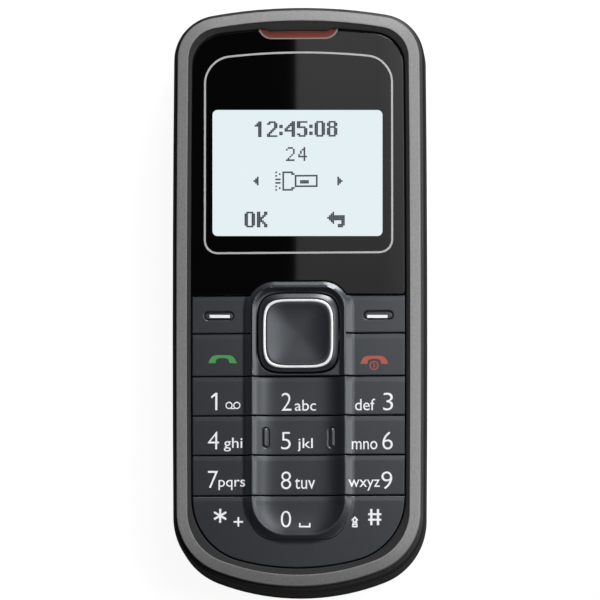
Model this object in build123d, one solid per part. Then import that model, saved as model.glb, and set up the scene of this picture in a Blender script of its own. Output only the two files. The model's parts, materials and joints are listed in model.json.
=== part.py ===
from build123d import *
from math import sqrt
import os

# A candybar feature phone lying on its back, in millimetres. The origin is the middle of the face it
# rests on, +Z points out of the display, +Y towards the earpiece and +X to the right of a reader.

# Driving sizes of the whole phone
LENGTH = 105.0
WIDTH = 45.0
SIDE_BULGE = 0.25  # how far each long side bows out in its middle
TOP_ARC_R = 90.0
BOTTOM_ARC_R = 41.0
TOP_CORNER_R = 8.2
BOTTOM_CORNER_R = 11.8

# General clearances
OVERRUN = 1.0  # how far a cutter runs past the face it cuts
FIT = 0.1  # between pieces that are fitted together and stay still
SLIDE_FIT = 0.15  # between the housing and the cover that slides on it

# Thicknesses and gaps from the back to the front
COVER_WALL = 1.2
COVER_RIM_H = 2.2  # how far the rim of the battery cover rises above its wall
BATTERY_GAP = 0.15
BATTERY_H = 5.2
FLOOR_T = 0.6
UNDER_BOARD = 1.5
BOARD_T = 0.8
FILM_T = 0.15
DOME_H = 0.25
KEY_TRAVEL = 0.4
PRESS_STOP = 0.05  # what is left between a pressed key and what is under it
MAT_RISE = 0.9  # the mat above the domes
BACKLIGHT_T = 1.2
LCD_GLASS_T = 1.0
LCD_LIP_T = 0.25
LCD_GAP = 0.2
SHELF_T = 0.5
ADHESIVE_T = 0.1
WINDOW_T = 1.1

# Heights above the resting face, built up from them
COVER_EDGE_Z = COVER_WALL + COVER_RIM_H
BATTERY_Z = COVER_WALL + BATTERY_GAP
FLOOR_Z = BATTERY_Z + BATTERY_H + BATTERY_GAP
FLOOR_TOP_Z = FLOOR_Z + FLOOR_T
BOARD_Z = FLOOR_TOP_Z + UNDER_BOARD
BOARD_TOP_Z = BOARD_Z + BOARD_T
DOME_TOP_Z = BOARD_TOP_Z + FILM_T + DOME_H
STEM_END_Z = DOME_TOP_Z + KEY_TRAVEL + 2 * PRESS_STOP
MAT_TOP_Z = DOME_TOP_Z + MAT_RISE
KEY_UNDER_Z = MAT_TOP_Z + KEY_TRAVEL + PRESS_STOP
LCD_GLASS_Z = BOARD_TOP_Z + FIT + BACKLIGHT_T
LCD_TOP_Z = LCD_GLASS_Z + LCD_GLASS_T + FIT / 2 + LCD_LIP_T
HOUSING_TOP_Z = LCD_TOP_Z + LCD_GAP
SHELF_TOP_Z = HOUSING_TOP_Z + SHELF_T
WINDOW_Z = SHELF_TOP_Z + ADHESIVE_T
WINDOW_TOP_Z = WINDOW_Z + WINDOW_T

# Rear housing
WALL = 1.5
LEDGE_W = 1.1  # the step inside the wall that carries the circuit board
BACK_EDGE_R = 3.0
FRONT_EDGE_R = 0.8
SPLIT_FROM_TOP = 30.5  # from the top end to where the battery cover meets the fixed part of the back
SPLIT_Y = LENGTH / 2 - SPLIT_FROM_TOP
SPLIT_GAP = 0.2
BULKHEAD_T = 1.3
SKIRT_WALL = 1.1  # the housing's own thin wall inside the rim of the battery cover

# Front cover: a satin ring round the window and the keys
RING_MARGIN_X = 0.8
RING_MARGIN_Y = 1.25
BAND_W = 1.8
BAND_FOOT = 1.2  # upright edge of the ring above the housing
CREST_RISE = 0.5  # crest of the ring above the window
OPENING_MARGIN_X = 3.35  # from the widest outline to the opening, at the sides and at both ends
OPENING_MARGIN_TOP = 4.0
OPENING_MARGIN_BOTTOM = 4.3
OPENING_HALF_W = WIDTH / 2 - OPENING_MARGIN_X
OPENING_TOP_Y = LENGTH / 2 - OPENING_MARGIN_TOP
OPENING_BOTTOM_Y = LENGTH / 2 - OPENING_MARGIN_BOTTOM
OPENING_TOP_R = 110.0
OPENING_BOTTOM_R = 40.0
OPENING_TOP_CORNER_R = 6.0
OPENING_BOTTOM_CORNER_R = 11.5
COVER_SKIRT_T = 1.0
SCOOP_HALF_W = 6.3  # the dip in the ring above the earpiece
SCOOP_LIP = 0.3  # metal left between the dip and the shelf
SCOOP_L = 1.5

# Display window and what lies under it
WINDOW_GAP = 0.3
WINDOW_BOTTOM_Y = 0.55
NOTCH_HALF_W_TOP = 5.0  # earpiece notch, at its lower edge
NOTCH_HALF_W_OPEN = 6.8  # and where it meets the ring
NOTCH_DEPTH = 2.2
NOTCH_EDGE_Y = OPENING_TOP_Y - NOTCH_DEPTH
GRILLE_T = 0.5
GRILLE_FIT = 0.1
VIEW_MARGIN_X = 3.65  # from the window's edges to the opening of the shelf over the display
VIEW_MARGIN_TOP = 14.6
VIEW_MARGIN_BOTTOM = 10.15
VIEW_HALF_W = OPENING_HALF_W - VIEW_MARGIN_X
VIEW_LOW_Y = WINDOW_BOTTOM_Y + VIEW_MARGIN_BOTTOM
VIEW_HIGH_Y = OPENING_TOP_Y - VIEW_MARGIN_TOP
LCD_MARGIN = 0.9  # the glass beyond that opening at the sides
LCD_MARGIN_LOW = 3.5
LCD_MARGIN_HIGH = 3.3
LCD_FRAME_W = 0.7
LCD_FRAME_LIP = 0.9
LCD_HALF_W = VIEW_HALF_W + LCD_MARGIN
LCD_LOW_Y = VIEW_LOW_Y - LCD_MARGIN_LOW
LCD_HIGH_Y = VIEW_HIGH_Y + LCD_MARGIN_HIGH

# Keypad grid, from the grooves between the rows of keys
ROW_EDGE_SHARES = (0.0093, -0.1307, -0.2894, -0.4346, -0.5809, -0.7303)  # of the opening's lower half
ROW_EDGES_Y = [share * OPENING_BOTTOM_Y for share in ROW_EDGE_SHARES]
ZERO_END_SHARE = 0.8932
ZERO_END_Y = -ZERO_END_SHARE * OPENING_BOTTOM_Y
COLUMN_X = 8.45  # edge of the middle column
ROW_SLIT = 0.2
COLUMN_SLIT = 0.12
KEY_RIM_GAP = 0.25
KEY_DROP = 0.2  # faces of the side keys below the window
KEY_BEVEL = 0.3
STEM_R = 1.2
RIDGE_RISE = 0.6  # rails of the middle column above the window
RIDGE_DISH_R = 26.0
RIDGE_RAIL_W = 0.5
ZERO_CORNER_R = 4.0

# Navigation key
SURROUND_SIDE_W = 1.35  # from the key to the edge of the middle column
NAV_PAST_WINDOW = 0.65  # how far the key reaches past the lower edge of the window
NAV_FOOT = 0.65  # from the key to the groove under it
NAV_HALF_W = COLUMN_X - SURROUND_SIDE_W
NAV_TOP_Y = WINDOW_BOTTOM_Y + NAV_PAST_WINDOW
NAV_BOTTOM_Y = ROW_EDGES_Y[2] + NAV_FOOT
NAV_CORNER_R = 3.4
NAV_GAP = 0.25
NAV_RISE = 1.2  # top of the key above the window
NAV_SKIRT = 1.3  # its underside below the window
NAV_INLAY_MARGIN = 0.85
NAV_INLAY_W = 0.5
NAV_INLAY_DEPTH = 0.4
NAV_INLAY_FIT = 0.03
NAV_DISH_R = 22.0
NAV_DISH_DEPTH = 0.45
NUB_REACH = 5.0
NUB_R = 0.7
SELECT_TRAVEL = 0.3
TIP_TRAVEL = 0.3  # how far a nub sinks when the key is tipped fully
PIVOT_HALF = 3.4
PIVOT_T = 0.45
PIVOT_GAP = 0.2  # above and below the plate, for its tilt
PLUNGER_R = 1.4
PLUNGER_FLANGE_R = 2.8
PLUNGER_FLANGE_T = 0.6
SURROUND_PAST_WINDOW = 2.4
SURROUND_TOP_Y = WINDOW_BOTTOM_Y + SURROUND_PAST_WINDOW
SURROUND_TOP_HALF_W = 4.6
SURROUND_RISE = 0.7  # the rim round the key above the window
SURROUND_EDGE_CHAMFER = 0.35

# Keypad mat, dome sheet and lamps
DOME_R = 2.0
DOME_TOP_R = 0.9
MAT_HOLE_R = 2.35
MAT_MARGIN = 0.2
MAT_PAST_SURROUND = 1.05
MAT_TOP_Y = SURROUND_TOP_Y + MAT_PAST_SURROUND
DOME_SHEET_MARGIN = 1.0
LAMP_L = 1.6
LAMP_W = 0.8
LAMP_H = 0.5
LAMP_ROOM = 0.2

# Battery bay
BATTERY_MARGIN_X = 5.5  # from the widest outline to the battery, at its sides and its lower end
BATTERY_MARGIN_BOTTOM = 16.5
BATTERY_CORNER_R = 1.2
BAY_FIT = 0.25
BAY_RIB_T = 1.0
CONNECTOR_HALF_W = 5.0
CONNECTOR_L = 3.2
BATTERY_W = WIDTH - 2 * BATTERY_MARGIN_X
BATTERY_LOW_Y = BATTERY_MARGIN_BOTTOM - LENGTH / 2
BATTERY_HIGH_Y = SPLIT_Y - BULKHEAD_T - CONNECTOR_L - 2 * BAY_FIT
CONNECTOR_LOW_Y = BATTERY_HIGH_Y + BAY_FIT
CONNECTOR_DROP = 1.25  # foot of the connector above the face of the battery
CONNECTOR_FIT = 0.15
CONTACT_COUNT = 3
CONTACT_W = 1.0
CONTACT_PITCH = 3.0
CONTACT_DEPTH = 0.4
SIM_MARGIN_X = 4.0  # inside the battery's outline
SIM_LOW_SHARE = 0.528  # ends of the holder along the battery
SIM_HIGH_SHARE = 0.849
SIM_HALF_W = BATTERY_W / 2 - SIM_MARGIN_X
SIM_LOW_Y = BATTERY_LOW_Y + SIM_LOW_SHARE * (BATTERY_HIGH_Y - BATTERY_LOW_Y)
SIM_HIGH_Y = BATTERY_LOW_Y + SIM_HIGH_SHARE * (BATTERY_HIGH_Y - BATTERY_LOW_Y)
SIM_DEPTH = 0.3  # the holder's plate above the face of the floor
SIM_PLATE_T = 0.25
SIM_RAIL_W = 1.2
SIM_BORDER_W = 5.0
SIM_WINDOW_SHARE = 0.47  # length of the holder's window
SIM_CORNER_R = 1.0

# Board and its parts
BOARD_FIT = 0.3
SHIELD_T = 0.2
SHIELD_H = 1.4
MAIN_SHIELD_MARGIN_X = 8.0  # from the widest outline
RADIO_SHIELD_MARGIN_X = 10.5
RADIO_SHIELD_MARGIN_BOTTOM = 7.3
RADIO_SHIELD_L = 8.2
SHIELD_SPACING = 3.0
SHIELD_TO_SIM = 4.0
CHIP_T = 0.9
CHIP_INSET_SHARE = 0.27  # of the shield's length, on every side of the chip
RADIO_CHIP_INSET_SHARE = 0.36
MAIN_SHIELD_HALF_W = WIDTH / 2 - MAIN_SHIELD_MARGIN_X
RADIO_SHIELD_HALF_W = WIDTH / 2 - RADIO_SHIELD_MARGIN_X
RADIO_SHIELD_LOW_Y = RADIO_SHIELD_MARGIN_BOTTOM - LENGTH / 2
RADIO_SHIELD_HIGH_Y = RADIO_SHIELD_LOW_Y + RADIO_SHIELD_L
MAIN_SHIELD_LOW_Y = RADIO_SHIELD_HIGH_Y + SHIELD_SPACING
MAIN_SHIELD_HIGH_Y = SIM_LOW_Y - SHIELD_TO_SIM

# Sockets in the recess of the left side
CHARGE_FROM_TOP = 16.5
CHARGE_BORE_R = 1.05
CHARGE_DEPTH = 6.0
CHARGE_BLOCK_W = 5.0
CHARGE_BLOCK_L = 7.6
CHARGE_BLOCK_H = 4.6
CHARGE_PIN_R = 0.3
CHARGE_PIN_INSET = 1.0
SOCKET_SPACING = 8.0
HEADSET_BORE_R = 1.3
HEADSET_DEPTH = 10.0
HEADSET_BLOCK_W = 5.4
HEADSET_BLOCK_L = 12.0
HEADSET_BLOCK_H = 5.0
SOCKET_MOUTH_R = 2.0
SOCKET_WALL_FIT = 0.1
RECESS_MARGIN_LOW = 4.3  # the recess beyond the middles of the two sockets
RECESS_MARGIN_HIGH = 4.6
RECESS_BELOW = 2.3  # and below and above them
RECESS_ABOVE = 3.1
RECESS_DEPTH = 0.35
CHARGE_Y = LENGTH / 2 - CHARGE_FROM_TOP
HEADSET_Y = CHARGE_Y - SOCKET_SPACING
RECESS_LOW_Y = HEADSET_Y - RECESS_MARGIN_LOW
RECESS_HIGH_Y = CHARGE_Y + RECESS_MARGIN_HIGH
SOCKET_MOUTH_X = WALL + SOCKET_WALL_FIT - WIDTH / 2

# Torch in the top end
TORCH_HALF_W = 6.9
TORCH_LENS_H = 2.8
TORCH_LENS_DROP = 0.6  # lower edge of the lens below the face of the board
TORCH_LENS_T = 1.7
LED_W = 3.0
LED_L = 2.2
LED_H = 1.2

# Upper chamber of the housing
SPEAKER_R = 5.6
SPEAKER_FROM_SOCKET = 5.5  # from the end of the charging socket to the speaker's middle
SPEAKER_FROM_TOP = 12.0
SPEAKER_H = 3.0
SPEAKER_STEP_R = 4.4
SPEAKER_STEP_H = 0.5
SLOT_COUNT = 4
SLOT_L = 6.0
SLOT_W = 0.7
SLOT_PITCH = 1.5
MESH_T = 0.2
ANTENNA_FROM_SPEAKER = 5.2
ANTENNA_FROM_TOP = 16.5
ANTENNA_MARGIN_X = 5.5
ANTENNA_L = 11.0
ANTENNA_CARRIER_H = 6.4
ANTENNA_T = 0.3
ANTENNA_SLOT_W = 0.8
ANTENNA_MARGIN = 1.0
CONTACT_SPRING_W = 1.0
MOTOR_X = 2.0
MOTOR_FROM_TOP = 24.0
MOTOR_R = 2.0
MOTOR_L = 8.0
MOTOR_SHAFT_R = 0.35
MOTOR_SHAFT_L = 4.0
MOTOR_HOLDER_WALL = 0.6
WEIGHT_R = 1.8
WEIGHT_L = 3.2
WEIGHT_GAP = 0.3
WEIGHT_BORE_FIT = 0.04
WEIGHT_HUB_R = 0.8
EARPIECE_HALF_W = 5.5
EARPIECE_L = 6.4
EARPIECE_PAST = 0.7  # how far the earpiece reaches past the edge of the notch
EARPIECE_H = 2.0
GASKET_W = 1.0
SOUND_SLOT_HALF_W = 4.2
SOUND_SLOT_W = 1.3
SOUND_SLOT_PAST = 0.3
MIC_X = 5.5
MIC_FROM_END = 5.1
MIC_R = 1.9
MIC_H = 1.2
MIC_HOLE_R = 0.5
SPEAKER_X = SOCKET_MOUTH_X + CHARGE_BLOCK_L + SPEAKER_FROM_SOCKET
SPEAKER_Y = LENGTH / 2 - SPEAKER_FROM_TOP
ANTENNA_X = SPEAKER_X + SPEAKER_R + ANTENNA_FROM_SPEAKER
ANTENNA_LOW_Y = LENGTH / 2 - ANTENNA_FROM_TOP
ANTENNA_W = WIDTH / 2 - ANTENNA_MARGIN_X - ANTENNA_X
MOTOR_Y = LENGTH / 2 - MOTOR_FROM_TOP
MIC_Y = MIC_FROM_END - LENGTH / 2

# Screws through the housing into the front cover
SCREW_HEAD_R = 1.2
SCREW_HEAD_H = 0.8
SCREW_R = 0.7
SCREW_HOLE_FIT = 0.1
SCREW_THREAD_FIT = 0.01
SCREW_COVER = 0.4  # plastic left over the end of each screw
SCREW_DRIVE_R = 0.45
SCREW_DRIVE_DEPTH = 0.4
POST_R = 1.3
SCREW_LOW_MARGIN_X = 5.2  # from the widest outline to the two lower and the two upper screws
SCREW_LOW_RISE = 5.47  # of the two lower screws above the arc of the bottom end
SCREW_HIGH_MARGIN_X = 3.2
SCREW_HIGH_MARGIN_Y = 36.5
BOARD_HOLE_R = 1.0

# Battery cover
HOOK_W = 1.3
HOOK_L = 2.0
HOOK_TOE_L = 1.6
HOOK_TOE_T = 0.6
HOOK_INSET = 12.0  # from the split, and from the battery's lower end, to the two pairs of hooks
HOOK_ROWS_Y = (SPLIT_Y - HOOK_INSET, BATTERY_LOW_Y + HOOK_INSET)
TAB_T = 0.6  # the housing's tabs that the toes of the hooks hold on to
GRIP_COUNT = 5
GRIP_L = 9.0
GRIP_W = 0.8
GRIP_PITCH = 1.6
GRIP_DEPTH = 0.35
GRIP_INSET = 10.0
GRIP_Y = SPLIT_Y - GRIP_INSET
COVER_LAP = 0.8  # tongue of the cover under the fixed part of the back
COVER_LAP_T = 0.5
COVER_LAP_MARGIN_X = 8.5
COVER_LAP_HALF_W = WIDTH / 2 - COVER_LAP_MARGIN_X


def outline(half_w, top, bottom, top_r, bottom_r, top_corner, bottom_corner):
    """A face between four arcs: top and bottom ends bow outwards and the long sides a little."""
    edge_x = half_w - SIDE_BULGE
    top_y = top - top_r + sqrt(top_r**2 - edge_x**2)
    bottom_y = -(bottom - bottom_r + sqrt(bottom_r**2 - edge_x**2))
    sides = [
        ThreePointArc((-edge_x, bottom_y), (0, -bottom), (edge_x, bottom_y)),
        ThreePointArc((edge_x, bottom_y), (half_w, 0), (edge_x, top_y)),
        ThreePointArc((edge_x, top_y), (0, top), (-edge_x, top_y)),
        ThreePointArc((-edge_x, top_y), (-half_w, 0), (-edge_x, bottom_y)),
    ]
    face = Face(Wire(sides))
    upper = face.vertices().sort_by(Axis.Y)[-2:]
    face = face.fillet_2d(top_corner, upper)
    lower = [v for v in face.vertices() if abs(v.Y - bottom_y) < FIT]
    return face.fillet_2d(bottom_corner, lower)


def body_face(inset):
    """The widest outline of the phone, drawn in by inset."""
    return outline(
        WIDTH / 2 - inset,
        LENGTH / 2 - inset,
        LENGTH / 2 - inset,
        TOP_ARC_R - inset,
        BOTTOM_ARC_R - inset,
        TOP_CORNER_R - inset,
        BOTTOM_CORNER_R - inset,
    )


def ring_face(inset):
    """The outer edge of the satin ring, drawn in by inset."""
    return outline(
        WIDTH / 2 - RING_MARGIN_X - inset,
        LENGTH / 2 - RING_MARGIN_Y - inset,
        LENGTH / 2 - RING_MARGIN_Y - inset,
        TOP_ARC_R - RING_MARGIN_Y - inset,
        BOTTOM_ARC_R - RING_MARGIN_Y - inset,
        TOP_CORNER_R - RING_MARGIN_X - inset,
        BOTTOM_CORNER_R - RING_MARGIN_X - inset,
    )


def opening_face(inset):
    """The opening of the front cover that the window and the keys fill, drawn in by inset."""
    return outline(
        OPENING_HALF_W - inset,
        OPENING_TOP_Y - inset,
        OPENING_BOTTOM_Y - inset,
        OPENING_TOP_R - inset,
        OPENING_BOTTOM_R - inset,
        OPENING_TOP_CORNER_R - inset,
        OPENING_BOTTOM_CORNER_R - inset,
    )


def slab(face, low, high):
    """The face as a plate between two heights."""
    return Solid.extrude(Pos(0, 0, low) * face, Vector(0, 0, high - low))


def frustum(low_face, low, high_face, high):
    """A ruled solid from one outline to another above it."""
    return loft([Pos(0, 0, low) * low_face, Pos(0, 0, high) * high_face], ruled=True)


def block(x_low, x_high, y_low, y_high, z_low, z_high):
    """A box given by its limits."""
    corner = Pos(x_low, y_low, z_low)
    return corner * Box(x_high - x_low, y_high - y_low, z_high - z_low, align=Align.MIN)


def rod(x, y, radius, low, high):
    """An upright cylinder between two heights."""
    return Pos(x, y, low) * Cylinder(radius, high - low, align=(Align.CENTER, Align.CENTER, Align.MIN))


def rod_x(x_low, x_high, y, z, radius):
    """A cylinder lying along X."""
    lying = Pos(x_low, y, z) * Rot(0, 90, 0)
    return lying * Cylinder(radius, x_high - x_low, align=(Align.CENTER, Align.CENTER, Align.MIN))


def rounded(x_low, x_high, y_low, y_high, radius):
    """A rectangle with rounded corners, as a face."""
    middle = Pos((x_low + x_high) / 2, (y_low + y_high) / 2)
    return (middle * RectangleRounded(x_high - x_low, y_high - y_low, radius)).face()


def one(shape):
    """The single solid of a shape that has just one."""
    return shape.solids()[0] if len(shape.solids()) == 1 else shape


def screw_places():
    """The four screws: two beside the display and two in the lower corners."""
    upper_x, upper_y = WIDTH / 2 - SCREW_HIGH_MARGIN_X, LENGTH / 2 - SCREW_HIGH_MARGIN_Y
    lower_x = WIDTH / 2 - SCREW_LOW_MARGIN_X
    arc_y = BOTTOM_ARC_R - LENGTH / 2 - sqrt(BOTTOM_ARC_R**2 - lower_x**2)
    lower_y = arc_y + SCREW_LOW_RISE
    return [(-upper_x, upper_y), (upper_x, upper_y), (-lower_x, lower_y), (lower_x, lower_y)]


CREST_Z = WINDOW_TOP_Z + CREST_RISE
BAND_FOOT_Z = HOUSING_TOP_Z + BAND_FOOT
KEY_TOP_Z = WINDOW_TOP_Z - KEY_DROP
RIDGE_CREST_Z = WINDOW_TOP_Z + RIDGE_RISE
SURROUND_CREST_Z = WINDOW_TOP_Z + SURROUND_RISE
NAV_TOP_Z = WINDOW_TOP_Z + NAV_RISE
NAV_UNDER_Z = WINDOW_TOP_Z - NAV_SKIRT
PIVOT_Z = NAV_UNDER_Z - PIVOT_GAP - PIVOT_T
PLUNGER_TOP_Z = PIVOT_Z - PIVOT_GAP
PLUNGER_END_Z = DOME_TOP_Z + SELECT_TRAVEL + PRESS_STOP
NUB_END_Z = PLUNGER_END_Z + TIP_TRAVEL
SCREW_END_Z = HOUSING_TOP_Z - SCREW_COVER
EARPIECE_HIGH_Y = NOTCH_EDGE_Y + EARPIECE_PAST
EARPIECE_LOW_Y = EARPIECE_HIGH_Y - EARPIECE_L
SOUND_SLOT_HIGH_Y = NOTCH_EDGE_Y + SOUND_SLOT_PAST
TORCH_LOW_Z = BOARD_TOP_Z - TORCH_LENS_DROP
TORCH_HIGH_Z = TORCH_LOW_Z + TORCH_LENS_H
CHARGE_Z = BOARD_Z - CHARGE_BLOCK_H / 2
HEADSET_Z = BOARD_Z - HEADSET_BLOCK_H / 2
NAV_MIDDLE_Y = (NAV_TOP_Y + NAV_BOTTOM_Y) / 2
LAST_ROW = len(ROW_EDGES_Y) - 1
FAR = LENGTH  # reaches past every edge of the phone


# Outer shell and the rear housing


def outer_shell():
    """The whole black body up to the front cover, with its rounded back edge."""
    shell = slab(body_face(0), 0, HOUSING_TOP_Z)
    back_edges = shell.faces().sort_by(Axis.Z)[0].edges()
    shell = fillet(back_edges, BACK_EDGE_R)
    front_edges = shell.faces().sort_by(Axis.Z)[-1].edges()
    return fillet(front_edges, FRONT_EDGE_R)


def cover_zone(gap):
    """The space of the battery cover below the split, grown by gap towards the housing."""
    return block(-FAR, FAR, -FAR, SPLIT_Y + gap, -OVERRUN, COVER_EDGE_Z + gap)


def cover_hollow(gap):
    """What the battery cover wraps round: the cover's inner space, drawn in by gap."""
    inner = slab(body_face(COVER_WALL + gap), COVER_WALL + gap, FLOOR_TOP_Z)
    edges = inner.faces().sort_by(Axis.Z)[0].edges()
    return fillet(edges, BACK_EDGE_R - COVER_WALL)


def battery_bay():
    """The open pocket for the battery and its connector."""
    half = BATTERY_W / 2 + BAY_FIT
    low = BATTERY_LOW_Y - BAY_FIT
    return block(-half, half, low, CONNECTOR_LOW_Y + CONNECTOR_L + BAY_FIT, 0, FLOOR_Z)


def lower_pockets():
    """Hollows beside and below the battery, left between thin ribs."""
    inner = slab(body_face(COVER_WALL + SLIDE_FIT + SKIRT_WALL), 0, FLOOR_Z)
    bay_half = BATTERY_W / 2 + BAY_FIT
    below = block(-FAR, FAR, -FAR, BATTERY_LOW_Y - BAY_FIT - BAY_RIB_T, 0, FLOOR_Z)
    top = SPLIT_Y - BULKHEAD_T
    bottom = BATTERY_LOW_Y
    left = block(-FAR, -bay_half - BAY_RIB_T, bottom, top, 0, FLOOR_Z)
    right = block(bay_half + BAY_RIB_T, FAR, bottom, top, 0, FLOOR_Z)
    return [inner & zone for zone in (below, left, right)]


def hook_span(side):
    """The limits in X of the channel beside the battery that the hooks run in."""
    inner = BATTERY_W / 2 + BAY_FIT + BAY_RIB_T
    outer = WIDTH / 2 - COVER_WALL - SLIDE_FIT - SKIRT_WALL
    return sorted((side * inner, side * outer))


def hook_tab(side, y):
    """The bridge across the channel that the toe of a closed hook reaches over."""
    x_low, x_high = hook_span(side)
    low = y + HOOK_L / 2 + SLIDE_FIT
    base = COVER_WALL + SLIDE_FIT
    return block(x_low - FIT, x_high + FIT, low, low + HOOK_TOE_L + SLIDE_FIT, base, base + TAB_T)


def rear_housing():
    """The black shell with the battery bay behind a floor and the board ledge in front of it."""
    shell = outer_shell()
    skirt = cover_hollow(SLIDE_FIT) & cover_zone(SLIDE_FIT)
    shell = shell - cover_zone(SLIDE_FIT) + skirt
    ledge = WALL + LEDGE_W
    shell -= slab(body_face(WALL), BOARD_Z, HOUSING_TOP_Z + OVERRUN)
    shell -= slab(body_face(ledge), FLOOR_TOP_Z, BOARD_Z + OVERRUN)
    chamber = slab(body_face(ledge), COVER_WALL, BOARD_Z)
    shell -= chamber & block(-FAR, FAR, SPLIT_Y, FAR, COVER_WALL, BOARD_Z)
    shell -= battery_bay()
    for pocket in lower_pockets():
        shell -= pocket
    for side in (-1, 1):
        for y in HOOK_ROWS_Y:
            shell += hook_tab(side, y)
    room = SIM_HALF_W + CONNECTOR_FIT
    shell -= block(-room, room, SIM_LOW_Y - CONNECTOR_FIT, SIM_HIGH_Y + CONNECTOR_FIT, FLOOR_Z, BOARD_Z)
    room = CONNECTOR_HALF_W + CONNECTOR_FIT
    connector_end = CONNECTOR_LOW_Y + CONNECTOR_L + CONNECTOR_FIT
    shell -= block(-room, room, CONNECTOR_LOW_Y - CONNECTOR_FIT, connector_end, FLOOR_Z, BOARD_Z)
    for x, y in screw_places():
        shell -= rod(x, y, SCREW_R + SCREW_HOLE_FIT, 0, BOARD_Z + OVERRUN)
        shell -= rod(x, y, SCREW_HEAD_R + SCREW_HOLE_FIT, 0, FLOOR_Z)
    recess_x = WIDTH / 2 - RECESS_DEPTH
    shell -= block(
        -FAR, -recess_x, RECESS_LOW_Y, RECESS_HIGH_Y, CHARGE_Z - RECESS_BELOW, CHARGE_Z + RECESS_ABOVE
    )
    for y, z in ((CHARGE_Y, CHARGE_Z), (HEADSET_Y, HEADSET_Z)):
        shell -= rod_x(-WIDTH, SOCKET_MOUTH_X + LEDGE_W, y, z, SOCKET_MOUTH_R)
    for block_w, y in ((CHARGE_BLOCK_W, CHARGE_Y), (HEADSET_BLOCK_W, HEADSET_Y)):
        half = block_w / 2 + SOCKET_WALL_FIT
        shell -= block(SOCKET_MOUTH_X - SOCKET_WALL_FIT, 0, y - half, y + half, COVER_WALL, BOARD_Z)
    shell -= torch_slot()
    for place in speaker_slots():
        shell -= place
    shell -= lap_groove()
    mic_mouth = Pos(MIC_X, -LENGTH / 2, BOARD_Z - MIC_H / 2) * Rot(90, 0, 0)
    shell -= mic_mouth * Cylinder(MIC_HOLE_R, 2 * (WALL + LEDGE_W))
    return one(shell)


def torch_slot():
    """The opening in the top end that holds the torch lens."""
    wall_y = LENGTH / 2 - WALL
    half = TORCH_HALF_W + FIT
    return block(-half, half, wall_y - OVERRUN, FAR, TORCH_LOW_Z - FIT, TORCH_HIGH_Z + FIT)


def speaker_slots():
    """Sound slots through the back, over the loudspeaker."""
    first = SPEAKER_Y - SLOT_PITCH * (SLOT_COUNT - 1) / 2
    slots = []
    for i in range(SLOT_COUNT):
        y = first + SLOT_PITCH * i
        face = (Pos(SPEAKER_X, y) * SlotOverall(SLOT_L, SLOT_W)).face()
        slots.append(slab(face, -OVERRUN, COVER_WALL + OVERRUN))
    return slots


def lap_groove():
    """The groove under the fixed back that takes the tongue of the battery cover."""
    half = COVER_LAP_HALF_W + SLIDE_FIT
    low = COVER_WALL - COVER_LAP_T - SLIDE_FIT
    return block(-half, half, SPLIT_Y, SPLIT_Y + COVER_LAP + 2 * SLIDE_FIT, low, COVER_WALL + SLIDE_FIT)


def battery_cover():
    """The lower back: a shallow tray with hooks, a finger grip and a tongue at the split."""
    tray = (outer_shell() & cover_zone(0)) - cover_hollow(0)
    tray -= block(-FAR, FAR, SPLIT_Y - SPLIT_GAP, FAR, -OVERRUN, COVER_EDGE_Z + OVERRUN)
    half = COVER_LAP_HALF_W
    low = COVER_WALL - COVER_LAP_T
    tray += block(-half, half, SPLIT_Y - SPLIT_GAP - COVER_WALL, SPLIT_Y + COVER_LAP, low, COVER_WALL)
    for side in (-1, 1):
        for y in HOOK_ROWS_Y:
            tray += cover_hook(side, y)
    for i in range(GRIP_COUNT):
        y = GRIP_Y + GRIP_PITCH * i - GRIP_PITCH * (GRIP_COUNT - 1) / 2
        tray -= block(-GRIP_L / 2, GRIP_L / 2, y - GRIP_W / 2, y + GRIP_W / 2, -OVERRUN, GRIP_DEPTH)
    return one(tray)


def cover_hook(side, y):
    """An upright post inside the cover with a toe that points towards the display end."""
    middle = sum(hook_span(side)) / 2
    x_low, x_high = middle - HOOK_W / 2, middle + HOOK_W / 2
    toe_z = COVER_WALL + SLIDE_FIT + TAB_T + SLIDE_FIT
    post = block(x_low, x_high, y - HOOK_L / 2, y + HOOK_L / 2, COVER_WALL / 2, toe_z + HOOK_TOE_T)
    return post + block(x_low, x_high, y, y + HOOK_L / 2 + HOOK_TOE_L, toe_z, toe_z + HOOK_TOE_T)


# Front cover and window


def front_cover():
    """The satin ring with its skirt, the shelf under the window and the screw posts."""
    ring = slab(ring_face(0), HOUSING_TOP_Z, BAND_FOOT_Z)
    ring += frustum(ring_face(0), BAND_FOOT_Z, ring_face(BAND_W), CREST_Z)
    ring -= slab(opening_face(0), SHELF_TOP_Z, WINDOW_TOP_Z)
    ring -= frustum(opening_face(0), WINDOW_TOP_Z, ring_face(BAND_W), CREST_Z)
    ring -= key_well()
    ring -= block(-VIEW_HALF_W, VIEW_HALF_W, VIEW_LOW_Y, VIEW_HIGH_Y, 0, SHELF_TOP_Z)
    half = SOUND_SLOT_HALF_W
    ring -= block(-half, half, SOUND_SLOT_HIGH_Y - SOUND_SLOT_W, SOUND_SLOT_HIGH_Y, 0, SHELF_TOP_Z)
    inner = WALL + FIT
    skirt = slab(body_face(inner), BOARD_TOP_Z, HOUSING_TOP_Z)
    skirt -= slab(body_face(inner + COVER_SKIRT_T), BOARD_TOP_Z, HOUSING_TOP_Z)
    skirt -= block(-TORCH_HALF_W - WALL, TORCH_HALF_W + WALL, 0, FAR, 0, HOUSING_TOP_Z)
    ring += skirt
    for x, y in screw_places():
        ring += rod(x, y, POST_R, BOARD_TOP_Z, HOUSING_TOP_Z)
    ring -= slab(opening_face(KEY_RIM_GAP), BOARD_TOP_Z, HOUSING_TOP_Z) & keypad_zone()
    for x, y in screw_places():
        ring -= rod(x, y, SCREW_R + SCREW_THREAD_FIT, 0, SCREW_END_Z)
    ring -= scoop()
    return one(ring)


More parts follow.
